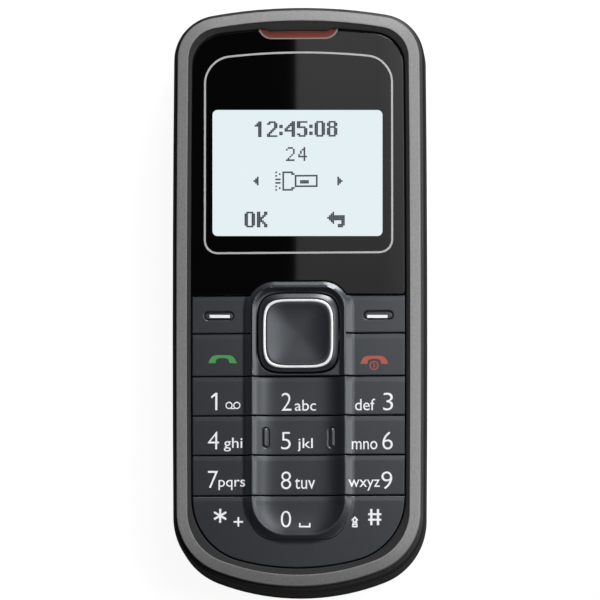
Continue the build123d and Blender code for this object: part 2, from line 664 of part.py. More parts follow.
def keypad_zone():
    """Everything below the lower edge of the window."""
    return block(-FAR, FAR, -FAR, WINDOW_BOTTOM_Y, 0, CREST_Z)


def key_well():
    """The open well of the keys, with the notch that the navigation key reaches into."""
    well = slab(opening_face(0), HOUSING_TOP_Z - OVERRUN, CREST_Z) & keypad_zone()
    half = NAV_HALF_W + NAV_GAP
    return well + block(-half, half, NAV_BOTTOM_Y, NAV_TOP_Y + NAV_GAP, HOUSING_TOP_Z - OVERRUN, CREST_Z)


def scoop():
    """The dip in the ring above the earpiece, deepest beside the window."""
    half = SCOOP_HALF_W
    low = OPENING_TOP_Y - OVERRUN
    high = OPENING_TOP_Y + SCOOP_L
    floor_z = SHELF_TOP_Z + SCOOP_LIP
    profile = Wire.make_polygon(
        [(0, low, floor_z), (0, OPENING_TOP_Y, floor_z), (0, high, CREST_Z), (0, low, CREST_Z)]
    )
    return Solid.extrude(Pos(-half, 0, 0) * Face(profile), Vector(2 * half, 0, 0))


def arch_face(grow):
    """The footprint of the rim round the navigation key, whose top rises into the window."""
    bottom = ROW_EDGES_Y[2] + ROW_SLIT / 2
    wide = COLUMN_X - COLUMN_SLIT / 2 + grow
    narrow = SURROUND_TOP_HALF_W + grow
    top = SURROUND_TOP_Y + grow
    right = [(wide, bottom), (wide, WINDOW_BOTTOM_Y), (narrow, top)]
    left = [(-x, y) for x, y in reversed(right)]
    return Face(Wire.make_polygon(right + left))


def earpiece_notch_face(inset):
    """The notch in the window for the earpiece grille, drawn in by inset."""
    low = NOTCH_EDGE_Y + inset
    high = OPENING_TOP_Y - inset
    narrow = NOTCH_HALF_W_TOP - inset
    wide = NOTCH_HALF_W_OPEN - inset
    return Face(Wire.make_polygon([(-narrow, low), (narrow, low), (wide, high), (-wide, high)]))


def display_window():
    """The glossy pane: black print with a clear area over the display."""
    pane = slab(opening_face(WINDOW_GAP), WINDOW_Z, WINDOW_TOP_Z)
    pane -= block(-FAR, FAR, -FAR, WINDOW_BOTTOM_Y, 0, FAR)
    pane -= slab(arch_face(FIT), 0, FAR)
    pane -= slab(earpiece_notch_face(0), 0, FAR)
    return one(pane)


def window_adhesive():
    """The frame of adhesive tape between the shelf and the window."""
    tape = slab(opening_face(WINDOW_GAP + ADHESIVE_T), SHELF_TOP_Z, WINDOW_Z)
    tape -= block(-FAR, FAR, -FAR, SURROUND_TOP_Y + FIT, 0, FAR)
    tape -= block(-VIEW_HALF_W, VIEW_HALF_W, VIEW_LOW_Y, VIEW_HIGH_Y, 0, FAR)
    tape -= slab(earpiece_notch_face(0), 0, FAR)
    return one(tape)


def earpiece_grille():
    """The red mesh strip between the ring and the window, seated on the shelf."""
    strip = slab(earpiece_notch_face(GRILLE_FIT), SHELF_TOP_Z, SHELF_TOP_Z + GRILLE_T)
    return one(strip & slab(opening_face(GRILLE_FIT), 0, FAR))


# Display


def lcd_backlight():
    """The light guide under the display glass."""
    return block(-LCD_HALF_W, LCD_HALF_W, LCD_LOW_Y, LCD_HIGH_Y, LCD_GLASS_Z - BACKLIGHT_T, LCD_GLASS_Z)


def lcd_glass():
    """The display glass on top of the light guide."""
    top = LCD_GLASS_Z + LCD_GLASS_T
    return block(-LCD_HALF_W, LCD_HALF_W, LCD_LOW_Y, LCD_HIGH_Y, LCD_GLASS_Z, top)


def lcd_frame():
    """The sheet frame that holds glass and light guide together, with a lip over the glass."""
    gap = FIT / 2
    inner = LCD_HALF_W + gap
    outer = inner + LCD_FRAME_W
    low = LCD_LOW_Y - gap
    high = LCD_HIGH_Y + gap
    frame = block(-outer, outer, low - LCD_FRAME_W, high + LCD_FRAME_W, BOARD_TOP_Z, LCD_TOP_Z)
    frame -= block(-inner, inner, low, high, 0, LCD_TOP_Z - LCD_LIP_T)
    lip = LCD_HALF_W - LCD_FRAME_LIP
    frame -= block(-lip, lip, LCD_LOW_Y + LCD_FRAME_LIP, LCD_HIGH_Y - LCD_FRAME_LIP, 0, FAR)
    return one(frame)


# Keys


def pad_face():
    """The whole field of keys inside the ring."""
    field = opening_face(KEY_RIM_GAP)
    return field & Pos(0, (ROW_EDGES_Y[0] - FAR) / 2) * Rectangle(WIDTH, FAR + ROW_EDGES_Y[0])


def cell(column, row):
    """The rectangle of one key: column -1, 0 or 1, and rows counted from the soft keys."""
    inner = COLUMN_X + COLUMN_SLIT / 2
    if column:
        x_low, x_high = sorted((column * inner, column * OPENING_HALF_W))
    else:
        x_low, x_high = -COLUMN_X + COLUMN_SLIT / 2, COLUMN_X - COLUMN_SLIT / 2
    top = ROW_EDGES_Y[row] - (ROW_SLIT / 2 if row else 0)
    bottom = -OPENING_BOTTOM_Y if row == LAST_ROW else ROW_EDGES_Y[row + 1] + ROW_SLIT / 2
    return x_low, x_high, bottom, top


def cell_face(column, row):
    """The rectangle of a key as a face."""
    x_low, x_high, bottom, top = cell(column, row)
    return Pos((x_low + x_high) / 2, (bottom + top) / 2) * Rectangle(x_high - x_low, top - bottom)


def stem_place(column, row):
    """Where the stem of a key meets its dome."""
    x = column * (COLUMN_X + OPENING_HALF_W) / 2
    row_bottom = ZERO_END_Y if row == LAST_ROW else ROW_EDGES_Y[row + 1]
    return x, (ROW_EDGES_Y[row] + row_bottom) / 2


def with_stem(cap, column, row):
    """The cap with the stem that reaches down to the dome sheet."""
    x, y = stem_place(column, row)
    return one(cap + rod(x, y, STEM_R, STEM_END_Z, KEY_UNDER_Z))


def bevelled(cap):
    """The cap with its upper edge, towards the display, cut back."""
    edges = cap.faces().sort_by(Axis.Y)[-1].edges().filter_by(Axis.X).sort_by(Axis.Z)
    return chamfer([edges[-1]], KEY_BEVEL)


def side_key(column, row):
    """A key of the left or right column."""
    face = pad_face() & cell_face(column, row)
    cap = one(slab(face.face(), KEY_UNDER_Z, KEY_TOP_Z))
    return with_stem(bevelled(cap), column, row)


def ridge_cutter():
    """A long lying cylinder that dishes the middle column between its two rails."""
    low = KEY_TOP_Z - FIT
    return Pos(0, 0, low + RIDGE_DISH_R) * Rot(90, 0, 0) * Cylinder(RIDGE_DISH_R, 2 * FAR)


def middle_key(row):
    """A key of the middle column, dished between its rails."""
    cap = slab(cell_face(0, row).face(), KEY_UNDER_Z, RIDGE_CREST_Z)
    return with_stem(one(cap - ridge_cutter()), 0, row)


def zero_face(grow):
    """The footprint of the lowest middle key, whose far end is rounded."""
    x_low, x_high, bottom, top = cell(0, LAST_ROW)
    end = ZERO_END_Y - grow
    tall = rounded(x_low - grow, x_high + grow, end, top + FAR, ZERO_CORNER_R + grow)
    limit = Pos(0, (top + end) / 2) * Rectangle(x_high - x_low + 2 * grow, top - end)
    return (tall & limit).face()


def zero_key():
    """The lowest middle key, where the two rails join in a U."""
    cap = slab(zero_face(0), KEY_UNDER_Z, RIDGE_CREST_Z)
    dish = ridge_cutter() & slab(zero_face(-RIDGE_RAIL_W), KEY_UNDER_Z, FAR)
    x_low, x_high, bottom, top = cell(0, LAST_ROW)
    open_end = block(x_low, x_high, top - OVERRUN, top, KEY_UNDER_Z, FAR)
    return with_stem(one(cap - dish - (ridge_cutter() & open_end)), 0, LAST_ROW)


def chin_key(column):
    """A key of the lowest row, which also fills its half of the chin under the middle column."""
    x_low, x_high, bottom, top = cell(column, LAST_ROW)
    reach = sorted((column * COLUMN_SLIT / 2, column * OPENING_HALF_W))
    half = Pos(sum(reach) / 2, (bottom + top) / 2) * Rectangle(reach[1] - reach[0], top - bottom)
    face = (pad_face() & half) - zero_face(COLUMN_SLIT)
    cut = block(-COLUMN_X - COLUMN_SLIT / 2, COLUMN_X + COLUMN_SLIT / 2, ZERO_END_Y, FAR, 0, FAR)
    solid = slab(face.face(), KEY_UNDER_Z, KEY_TOP_Z)
    corner = slab(zero_face(COLUMN_SLIT), 0, FAR)
    cap = one(solid - (cut & corner))
    return with_stem(bevelled(cap), column, LAST_ROW)


# Navigation key


def nav_face(inset):
    """The footprint of the navigation key, drawn in by inset."""
    half = NAV_HALF_W - inset
    return rounded(-half, half, NAV_BOTTOM_Y + inset, NAV_TOP_Y - inset, NAV_CORNER_R - inset)


def navigation_key():
    """The rocking key: a dished cap, a groove for the bright inlay and four nubs for the domes."""
    cap = slab(nav_face(0), NAV_UNDER_Z, NAV_TOP_Z)
    rim = cap.faces().sort_by(Axis.Z)[-1].edges()
    cap = chamfer(rim, NAV_INLAY_MARGIN / 2)
    outer = slab(nav_face(NAV_INLAY_MARGIN), NAV_TOP_Z - NAV_INLAY_DEPTH, NAV_TOP_Z + OVERRUN)
    inner = slab(nav_face(NAV_INLAY_MARGIN + NAV_INLAY_W), 0, FAR)
    cap -= outer - inner
    dish = slab(nav_face(NAV_INLAY_MARGIN + NAV_INLAY_W), 0, FAR)
    ball = Pos(0, NAV_MIDDLE_Y, NAV_TOP_Z - NAV_DISH_DEPTH + NAV_DISH_R) * Sphere(NAV_DISH_R)
    cap -= dish & ball
    for x, y in nub_places():
        cap += rod(x, y, NUB_R, NUB_END_Z, NAV_UNDER_Z)
    return one(cap)


def navigation_ring():
    """The bright inlay in the groove of the navigation key."""
    outer = nav_face(NAV_INLAY_MARGIN + NAV_INLAY_FIT)
    inner = nav_face(NAV_INLAY_MARGIN + NAV_INLAY_W - NAV_INLAY_FIT)
    low = NAV_TOP_Z - NAV_INLAY_DEPTH
    return one(slab(outer, low, NAV_TOP_Z) - slab(inner, 0, FAR))


def nub_places():
    """The four nubs under the edges of the navigation key."""
    turns = [(1, 0), (0, 1), (-1, 0), (0, -1)]
    return [(NUB_REACH * x, NAV_MIDDLE_Y + NUB_REACH * y) for x, y in turns]


def navigation_pivot():
    """The plate between the plunger and the key that lets the key tip both ways."""
    low, high = NAV_MIDDLE_Y - PIVOT_HALF, NAV_MIDDLE_Y + PIVOT_HALF
    return block(-PIVOT_HALF, PIVOT_HALF, low, high, PIVOT_Z, PIVOT_Z + PIVOT_T)


def navigation_plunger():
    """The middle plunger that the select press pushes onto its dome."""
    flange = rod(0, NAV_MIDDLE_Y, PLUNGER_FLANGE_R, PLUNGER_TOP_Z - PLUNGER_FLANGE_T, PLUNGER_TOP_Z)
    return one(flange + rod(0, NAV_MIDDLE_Y, PLUNGER_R, PLUNGER_END_Z, PLUNGER_TOP_Z))


def navigation_surround():
    """The fixed rim round the navigation key, arched up into the window."""
    rim = slab(arch_face(0), SHELF_TOP_Z, SURROUND_CREST_Z)
    top_edges = rim.faces().sort_by(Axis.Z)[-1].edges()
    rim = chamfer(top_edges, SURROUND_EDGE_CHAMFER)
    low_zone = block(-FAR, FAR, -FAR, WINDOW_BOTTOM_Y - FIT, KEY_UNDER_Z, SHELF_TOP_Z)
    rim += slab(arch_face(0), KEY_UNDER_Z, SHELF_TOP_Z) & low_zone
    rim -= slab(nav_face(-NAV_GAP), 0, FAR)
    return one(rim)


# Mat, domes and lamps under the keys


def key_cells():
    """Column and row of each plain key, by name."""
    names = {"key_soft_left": (-1, 0), "key_soft_right": (1, 0)}
    names.update({"key_call": (-1, 1), "key_end": (1, 1)})
    for digit in range(1, 10):
        names[f"key_{digit}"] = ((digit - 1) % 3 - 1, 2 + (digit - 1) // 3)
    names.update({"key_star": (-1, LAST_ROW), "key_0": (0, LAST_ROW), "key_hash": (1, LAST_ROW)})
    return names


def press_places():
    """Every spot that is pressed: one a key, and five for the navigation key."""
    places = [stem_place(column, row) for column, row in key_cells().values()]
    return places + nub_places() + [(0, NAV_MIDDLE_Y)]


def lamp_places():
    """The lamp chips beside the middle column, in every second groove."""
    return [(side * COLUMN_X, y) for y in ROW_EDGES_Y[1::2] for side in (-1, 1)]


def lamp_room(x, y, high):
    """The window in film or mat over one lamp."""
    long = LAMP_L / 2 + LAMP_ROOM
    wide = LAMP_W / 2 + LAMP_ROOM
    return block(x - long, x + long, y - wide, y + wide, BOARD_TOP_Z, high)


def keypad_field(margin):
    """The part of the opening below the display, drawn in by margin."""
    field = opening_face(margin)
    return (field & Pos(0, (MAT_TOP_Y - FAR) / 2) * Rectangle(WIDTH, FAR + MAT_TOP_Y)).face()


def dome_sheet():
    """The film with a snap dome under each pressing spot."""
    low = BOARD_TOP_Z
    sheet = slab(keypad_field(DOME_SHEET_MARGIN), low, low + FILM_T)
    for x, y in press_places():
        dome = Cone(DOME_R, DOME_TOP_R, DOME_H, align=(Align.CENTER, Align.CENTER, Align.MIN))
        sheet += Pos(x, y, low + FILM_T) * dome
    for x, y in lamp_places():
        sheet -= lamp_room(x, y, FAR)
    for x, y in screw_places():
        sheet -= rod(x, y, POST_R + FIT, 0, FAR)
    return one(sheet)


def keypad_mat():
    """The silicone web between the dome sheet and the keys, holed for their stems."""
    low = BOARD_TOP_Z + FILM_T
    mat = slab(keypad_field(MAT_MARGIN + KEY_RIM_GAP), low, MAT_TOP_Z)
    for x, y in press_places():
        mat -= rod(x, y, MAT_HOLE_R, 0, FAR)
    for x, y in lamp_places():
        mat -= lamp_room(x, y, low + LAMP_H)
    for x, y in screw_places():
        mat -= rod(x, y, POST_R + FIT, 0, FAR)
    return one(mat)


def keypad_lamps():
    """The lamp chips on the board that light the keys."""
    chips = []
    high = BOARD_TOP_Z + LAMP_H
    for x, y in lamp_places():
        chip_x, chip_y = x - LAMP_L / 2, y - LAMP_W / 2
        chips.append(block(chip_x, chip_x + LAMP_L, chip_y, chip_y + LAMP_W, BOARD_TOP_Z, high))
    return Compound(children=chips)


# Board and electronics


def circuit_board():
    """The main board, drilled for the screws."""
    board = slab(body_face(WALL + BOARD_FIT), BOARD_Z, BOARD_TOP_Z)
    for x, y in screw_places():
        board -= rod(x, y, BOARD_HOLE_R, 0, FAR)
    return one(board)


def shield(half_w, ends_y):
    """A thin metal can soldered under the board."""
    low, high = ends_y
    base = BOARD_Z - SHIELD_H
    room = half_w - SHIELD_T
    can = block(-half_w, half_w, low, high, base, BOARD_Z)
    return one(can - block(-room, room, low + SHIELD_T, high - SHIELD_T, base + SHIELD_T, BOARD_Z))


def chip(half_w, ends_y, inset_share):
    """A chip under the board, inside its shield."""
    low, high = ends_y
    margin = inset_share * (high - low)
    return block(margin - half_w, half_w - margin, low + margin, high - margin, BOARD_Z - CHIP_T, BOARD_Z)


def battery():
    """The removable pack, with its contact pads in the end towards the connector."""
    half = BATTERY_W / 2
    face = rounded(-half, half, BATTERY_LOW_Y, BATTERY_HIGH_Y, BATTERY_CORNER_R)
    pack = slab(face, BATTERY_Z, BATTERY_Z + BATTERY_H)
    for x in contact_places():
        half = CONTACT_W / 2
        middle = BATTERY_Z + BATTERY_H / 2
        end = BATTERY_HIGH_Y - CONTACT_DEPTH
        pack -= block(x - half, x + half, end, FAR, middle - CONTACT_W, middle + CONTACT_W)
    return one(pack)


def contact_places():
    """The battery contacts, side by side."""
    first = -CONTACT_PITCH * (CONTACT_COUNT - 1) / 2
    return [first + CONTACT_PITCH * i for i in range(CONTACT_COUNT)]


def battery_connector():
    """The block of spring contacts at the end of the bay."""
    high = CONNECTOR_LOW_Y + CONNECTOR_L
    foot = BATTERY_Z + CONNECTOR_DROP
    body = block(-CONNECTOR_HALF_W, CONNECTOR_HALF_W, CONNECTOR_LOW_Y, high, foot, BOARD_Z)
    middle = BATTERY_Z + BATTERY_H / 2
    thin = (CONTACT_W - FIT * 2) / 2
    reach = BATTERY_HIGH_Y - CONTACT_DEPTH + FIT
    for x in contact_places():
        body += block(x - thin, x + thin, reach, CONNECTOR_LOW_Y, middle - thin, middle + thin)
    return one(body)


def sim_holder():
    """The sheet holder for the SIM card, under the battery: a plate on two rails."""
    plate = rounded(-SIM_HALF_W, SIM_HALF_W, SIM_LOW_Y, SIM_HIGH_Y, SIM_CORNER_R)
    base = FLOOR_Z + SIM_DEPTH
    holder = slab(plate, base, base + SIM_PLATE_T)
    middle = (SIM_LOW_Y + SIM_HIGH_Y) / 2
    half = SIM_WINDOW_SHARE * (SIM_HIGH_Y - SIM_LOW_Y) / 2
    room = SIM_HALF_W - SIM_BORDER_W
    holder -= block(-room, room, middle - half, middle + half, 0, FAR)
    for side in (-1, 1):
        x_low, x_high = sorted((side * SIM_HALF_W, side * (SIM_HALF_W - SIM_RAIL_W)))
        holder += block(x_low, x_high, SIM_LOW_Y + SIM_CORNER_R, SIM_HIGH_Y - SIM_CORNER_R, base, BOARD_Z)
    return one(holder)


def socket(y, z, width, length, height, bore_r, depth):
    """A socket block under the board, bored from the left side of the phone."""
    start = SOCKET_MOUTH_X
    body = block(start, start + length, y - width / 2, y + width / 2, z - height / 2, z + height / 2)
    return body - rod_x(start - OVERRUN, start + depth, y, z, bore_r)


def charging_socket():
    """The round charging inlet, with its centre pin."""
    size = CHARGE_BLOCK_W, CHARGE_BLOCK_L, CHARGE_BLOCK_H
    body = socket(CHARGE_Y, CHARGE_Z, *size, CHARGE_BORE_R, CHARGE_DEPTH)
    pin_start = SOCKET_MOUTH_X + CHARGE_PIN_INSET
    pin_end = SOCKET_MOUTH_X + CHARGE_DEPTH
    return one(body + rod_x(pin_start, pin_end, CHARGE_Y, CHARGE_Z, CHARGE_PIN_R))


def headset_socket():
    """The headset jack."""
    size = HEADSET_BLOCK_W, HEADSET_BLOCK_L, HEADSET_BLOCK_H
    return one(socket(HEADSET_Y, HEADSET_Z, *size, HEADSET_BORE_R, HEADSET_DEPTH))


def torch_lens():
    """The clear lens in the top end; its flat front stands proud of the curve at both ends."""
    front = LENGTH / 2
    return block(-TORCH_HALF_W, TORCH_HALF_W, front - TORCH_LENS_T, front, TORCH_LOW_Z, TORCH_HIGH_Z)


def torch_led():
    """The torch lamp on the board, behind its lens."""
    high = LENGTH / 2 - TORCH_LENS_T - FIT
    return block(-LED_W / 2, LED_W / 2, high - LED_L, high, BOARD_TOP_Z, BOARD_TOP_Z + LED_H)


def earpiece_speaker():
    """The small earpiece under the top of the window."""
    half, low = EARPIECE_HALF_W, BOARD_TOP_Z
    return block(-half, half, EARPIECE_LOW_Y, EARPIECE_HIGH_Y, low, low + EARPIECE_H)


def earpiece_gasket():
    """The foam ring that seals the earpiece against the shelf."""
    low = BOARD_TOP_Z + EARPIECE_H
    half = EARPIECE_HALF_W
    outer = block(-half, half, EARPIECE_LOW_Y, EARPIECE_HIGH_Y, low, HOUSING_TOP_Z)
    half -= GASKET_W
    return one(outer - block(-half, half, EARPIECE_LOW_Y + GASKET_W, EARPIECE_HIGH_Y - GASKET_W / 2, 0, FAR))


def loudspeaker():
    """The loudspeaker behind the slots in the back."""
    low = COVER_WALL + MESH_T
    body = rod(SPEAKER_X, SPEAKER_Y, SPEAKER_R, low + SPEAKER_STEP_H, low + SPEAKER_H)
    return one(body + rod(SPEAKER_X, SPEAKER_Y, SPEAKER_STEP_R, low, low + SPEAKER_STEP_H))


def speaker_mesh():
    """The dust mesh between the back and the loudspeaker."""
    return rod(SPEAKER_X, SPEAKER_Y, SPEAKER_R, COVER_WALL, COVER_WALL + MESH_T)


def speaker_springs():
    """Two contact springs from the board to the loudspeaker."""
    low = COVER_WALL + MESH_T + SPEAKER_H
    half = CONTACT_SPRING_W / 2
    reach = SPEAKER_R / 2
    springs = []
    for side in (-1, 1):
        x = SPEAKER_X + side * reach
        springs.append(block(x - half, x + half, SPEAKER_Y - half, SPEAKER_Y + half, low, BOARD_Z))
    return Compound(children=springs)


def antenna_carrier():
    """The plastic block that holds the antenna plate against the back."""
    low = COVER_WALL + ANTENNA_T
    x_high, y_high = ANTENNA_X + ANTENNA_W, ANTENNA_LOW_Y + ANTENNA_L
    return block(ANTENNA_X, x_high, ANTENNA_LOW_Y, y_high, low, low + ANTENNA_CARRIER_H)


def antenna():
    """The antenna plate: a sheet with two slots that make it a folded strip."""
    x_high = ANTENNA_X + ANTENNA_W
    y_high = ANTENNA_LOW_Y + ANTENNA_L
    plate = block(ANTENNA_X, x_high, ANTENNA_LOW_Y, y_high, COVER_WALL, COVER_WALL + ANTENNA_T)
    step = ANTENNA_L / 3
    lower, upper = ANTENNA_LOW_Y + step, y_high - step
    plate -= block(ANTENNA_X + ANTENNA_MARGIN, FAR, lower, lower + ANTENNA_SLOT_W, 0, FAR)
    plate -= block(-FAR, x_high - ANTENNA_MARGIN, upper, upper + ANTENNA_SLOT_W, 0, FAR)
    return one(plate)


def vibration_motor():
    """The vibration motor in its holder, with the shaft that carries the weight."""
    z = BOARD_Z - MOTOR_R - MOTOR_HOLDER_WALL
    wall = MOTOR_R + MOTOR_HOLDER_WALL
    body = rod_x(MOTOR_X, MOTOR_X + MOTOR_L, MOTOR_Y, z, MOTOR_R)
    body += block(MOTOR_X, MOTOR_X + MOTOR_L, MOTOR_Y - wall, MOTOR_Y + wall, z, BOARD_Z)
    end = MOTOR_X + MOTOR_L
    return one(body + rod_x(end, end + MOTOR_SHAFT_L, MOTOR_Y, z, MOTOR_SHAFT_R))


def vibration_weight():
    """The half-round weight on the motor shaft, hanging towards the back at rest."""
    z = BOARD_Z - MOTOR_R - MOTOR_HOLDER_WALL
    low = MOTOR_X + MOTOR_L + WEIGHT_GAP
    high = low + WEIGHT_L
    disc = rod_x(low, high, MOTOR_Y, z, WEIGHT_R)
    weight = disc & block(low, high, MOTOR_Y - WEIGHT_R, MOTOR_Y + WEIGHT_R, z - WEIGHT_R, z)
    weight += rod_x(low, high, MOTOR_Y, z, WEIGHT_HUB_R)
    return one(weight - rod_x(low - OVERRUN, high + OVERRUN, MOTOR_Y, z, MOTOR_SHAFT_R + WEIGHT_BORE_FIT))


def microphone():
    """The microphone capsule under the lower end of the board."""
    return rod(MIC_X, MIC_Y, MIC_R, BOARD_Z - MIC_H, BOARD_Z)


def housing_screws():
    """The four screws, heads towards the battery."""
    screws = []
    for x, y in screw_places():
        low = FLOOR_Z - SCREW_HEAD_H
        screw = rod(x, y, SCREW_HEAD_R, low, FLOOR_Z) + rod(x, y, SCREW_R, FLOOR_Z, SCREW_END_Z)
        drive = Pos(x, y, low) * extrude(RegularPolygon(SCREW_DRIVE_R, 6), SCREW_DRIVE_DEPTH)
        screws.append(one(screw - drive))
    return Compound(children=screws)


def keys():
    """Every plain key by name."""
    made = {}
    for name, (column, row) in key_cells().items():
        if row == LAST_ROW:
            made[name] = chin_key(column) if column else zero_key()
        else:
            made[name] = side_key(column, row) if column else middle_key(row)
    return made


MAIN_SHIELD = MAIN_SHIELD_HALF_W, (MAIN_SHIELD_LOW_Y, MAIN_SHIELD_HIGH_Y)
RADIO_SHIELD = RADIO_SHIELD_HALF_W, (RADIO_SHIELD_LOW_Y, RADIO_SHIELD_HIGH_Y)

NODES = {
    "front_cover": front_cover(),
    "display_window": display_window(),
    "window_adhesive": window_adhesive(),
    "earpiece_grille": earpiece_grille(),
    "earpiece_gasket": earpiece_gasket(),
    "earpiece_speaker": earpiece_speaker(),
    "torch_lens": torch_lens(),
    "torch_led": torch_led(),
    "rear_housing": rear_housing(),
    "battery_cover": battery_cover(),
    "navigation_surround": navigation_surround(),
    "navigation_key": navigation_key(),
    "navigation_ring": navigation_ring(),
    "navigation_pivot": navigation_pivot(),
    "navigation_plunger": navigation_plunger(),
    "keypad_mat": keypad_mat(),
    "dome_sheet": dome_sheet(),
    "keypad_lamps": keypad_lamps(),
    "circuit_board": circuit_board(),
    "main_shield": shield(*MAIN_SHIELD),
    "radio_shield": shield(*RADIO_SHIELD),
    "processor_chip": chip(*MAIN_SHIELD, CHIP_INSET_SHARE),
    "radio_chip": chip(*RADIO_SHIELD, RADIO_CHIP_INSET_SHARE),
    "lcd_glass": lcd_glass(),
    "lcd_backlight": lcd_backlight(),
    "lcd_frame": lcd_frame(),
    "battery": battery(),
    "battery_connector": battery_connector(),
    "sim_holder": sim_holder(),
    "charging_socket": charging_socket(),
    "headset_socket": headset_socket(),
    "loudspeaker": loudspeaker(),
    "speaker_mesh": speaker_mesh(),
    "speaker_springs": speaker_springs(),
    "antenna": antenna(),
    "antenna_carrier": antenna_carrier(),
    "vibration_motor": vibration_motor(),
    "vibration_weight": vibration_weight(),
    "microphone": microphone(),
    "housing_screws": housing_screws(),
}
NODES.update(keys())

os.makedirs("parts", exist_ok=True)
for node, shape in NODES.items():
    export_step(shape, f"parts/{node}.step")
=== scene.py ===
# %% [markdown]
# # A candybar feature phone, dressed for the camera
# The phone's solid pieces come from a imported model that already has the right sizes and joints. This script
# keeps that frame as it is and adds what a picture needs: rounded and softly curved surfaces for everything
# on the front, printed marks on the keys, a lit display, and a believable finish for every piece.

# %% Load the frame
import json

import bmesh
import bpy
import numpy as np
from mathutils import Matrix, Vector


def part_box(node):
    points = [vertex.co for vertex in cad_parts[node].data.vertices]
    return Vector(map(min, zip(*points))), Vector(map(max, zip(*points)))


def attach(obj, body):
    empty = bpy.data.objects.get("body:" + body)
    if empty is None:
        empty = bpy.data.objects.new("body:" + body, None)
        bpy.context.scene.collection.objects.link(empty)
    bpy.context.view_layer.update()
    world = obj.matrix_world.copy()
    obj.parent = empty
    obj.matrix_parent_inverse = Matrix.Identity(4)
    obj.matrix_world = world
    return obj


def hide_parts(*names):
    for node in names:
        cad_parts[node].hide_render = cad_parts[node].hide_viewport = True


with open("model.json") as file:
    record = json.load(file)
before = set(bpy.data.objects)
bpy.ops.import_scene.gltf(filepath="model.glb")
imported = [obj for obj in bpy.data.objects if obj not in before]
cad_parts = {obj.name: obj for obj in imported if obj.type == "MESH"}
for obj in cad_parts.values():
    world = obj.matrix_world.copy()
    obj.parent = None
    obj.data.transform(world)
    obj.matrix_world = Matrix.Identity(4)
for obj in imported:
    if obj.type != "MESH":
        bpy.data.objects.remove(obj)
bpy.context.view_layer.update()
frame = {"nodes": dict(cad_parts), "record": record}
MM = 0.001


def box_mm(node):
    """Lowest and highest corner of a solid piece, in millimetres."""
    low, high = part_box(node)
    return np.array(low) / MM, np.array(high) / MM


# %% [markdown]
# ## Sizes that the surfaces share
# Heights and edges are read from the solid pieces, so that a dressed surface stays on the piece that it
# stands for. The rest are the radii and margins of the front, in millimetres.

# %% Heights and edges
RING_HIGH = box_mm("front_cover")[1]
WINDOW_LOW, WINDOW_HIGH = box_mm("display_window")
HOUSING_HIGH = box_mm("rear_housing")[1]
SIDE_KEY_HIGH = box_mm("key_3")[1]
MIDDLE_KEY_HIGH = box_mm("key_5")[1]
RIM_LOW, RIM_HIGH = box_mm("navigation_surround")
NAV_LOW, NAV_HIGH = box_mm("navigation_key")

HALF_WIDTH = HOUSING_HIGH[0]
HALF_LENGTH = HOUSING_HIGH[1]
HOUSING_TOP = HOUSING_HIGH[2]
WINDOW_TOP = WINDOW_HIGH[2]
WINDOW_BASE = WINDOW_LOW[2]
CREST = RING_HIGH[2]
KEY_FACE = SIDE_KEY_HIGH[2]
RAIL_CREST = MIDDLE_KEY_HIGH[2]
KEY_FOOT = 0.5  # how far the caps of the keys reach below the top of the housing
KEY_BASE = HOUSING_TOP - KEY_FOOT
NAV_TOP = NAV_HIGH[2]
print("window at", round(WINDOW_TOP, 2), "keys at", round(KEY_FACE, 2), "rails at", round(RAIL_CREST, 2))

SIDE_BULGE = 0.25
RING_MARGIN_X = 0.8
RING_MARGIN_Y = 1.25
RING_MARGIN_TOP = 0.8
BAND_WIDTH = 1.8
OPENING = dict(
    half_w=19.15, top=48.5, bottom=48.2, top_r=110.0, bottom_r=40.0, top_corner=6.0, bottom_corner=11.5)
RING = dict(
    half_w=HALF_WIDTH - RING_MARGIN_X, top=HALF_LENGTH - RING_MARGIN_TOP, bottom=HALF_LENGTH - RING_MARGIN_Y,
    top_r=88.75, bottom_r=39.75, top_corner=7.4, bottom_corner=11.0)

# %% [markdown]
# ## Outlines made of arcs
# The ring, the opening and the window all have the same kind of outline: a bowed top, a bowed bottom and
# nearly straight sides, with a round fillet at each corner. Working the fillets out exactly, and spending
# the same number of points on each stretch, means that two such outlines can be joined point for point.

# %% Crossing circles and arcs
def circle_meet(centre_a, radius_a, centre_b, radius_b, side):
    """Where two circles cross, on the given side (+1 or -1) of the line between their centres. Along that
    line it lies at the gap squared plus the first radius squared less the second, over twice the gap."""
    gap = centre_b - centre_a
    dist = np.hypot(*gap)
    along = (dist**2 + radius_a**2 - radius_b**2) / (2 * dist)
    across = np.sqrt(max(radius_a**2 - along**2, 0.0))
    unit = gap / dist
    normal = np.array([-unit[1], unit[0]])
    return centre_a + along * unit + side * across * normal


def arc(centre, start, end, count):
    """Points on the circle about centre, from start towards end, by even steps of angle."""
    radius = np.hypot(*(start - centre))
    first = np.arctan2(*(start - centre)[::-1])
    last = np.arctan2(*(end - centre)[::-1])
    turn = (last - first + np.pi) % (2 * np.pi) - np.pi
    angles = first + turn * np.linspace(0, 1, count, endpoint=False)
    return centre + radius * np.stack([np.cos(angles), np.sin(angles)], 1)


apart = np.array([1.0, 0.0])
print("two unit circles one apart meet at", circle_meet(np.zeros(2), 1, apart, 1, 1).round(3))

# %% [markdown]
# Now the outline. The centre of each fillet lies where two circles cross, each of them inside one of the
# arcs that the fillet joins, by the fillet's radius. An inset moves every stretch inwards alike.

# %% The outline function
ARC_POINTS = 22
SIDE_POINTS = 40
CORNER_POINTS = 18


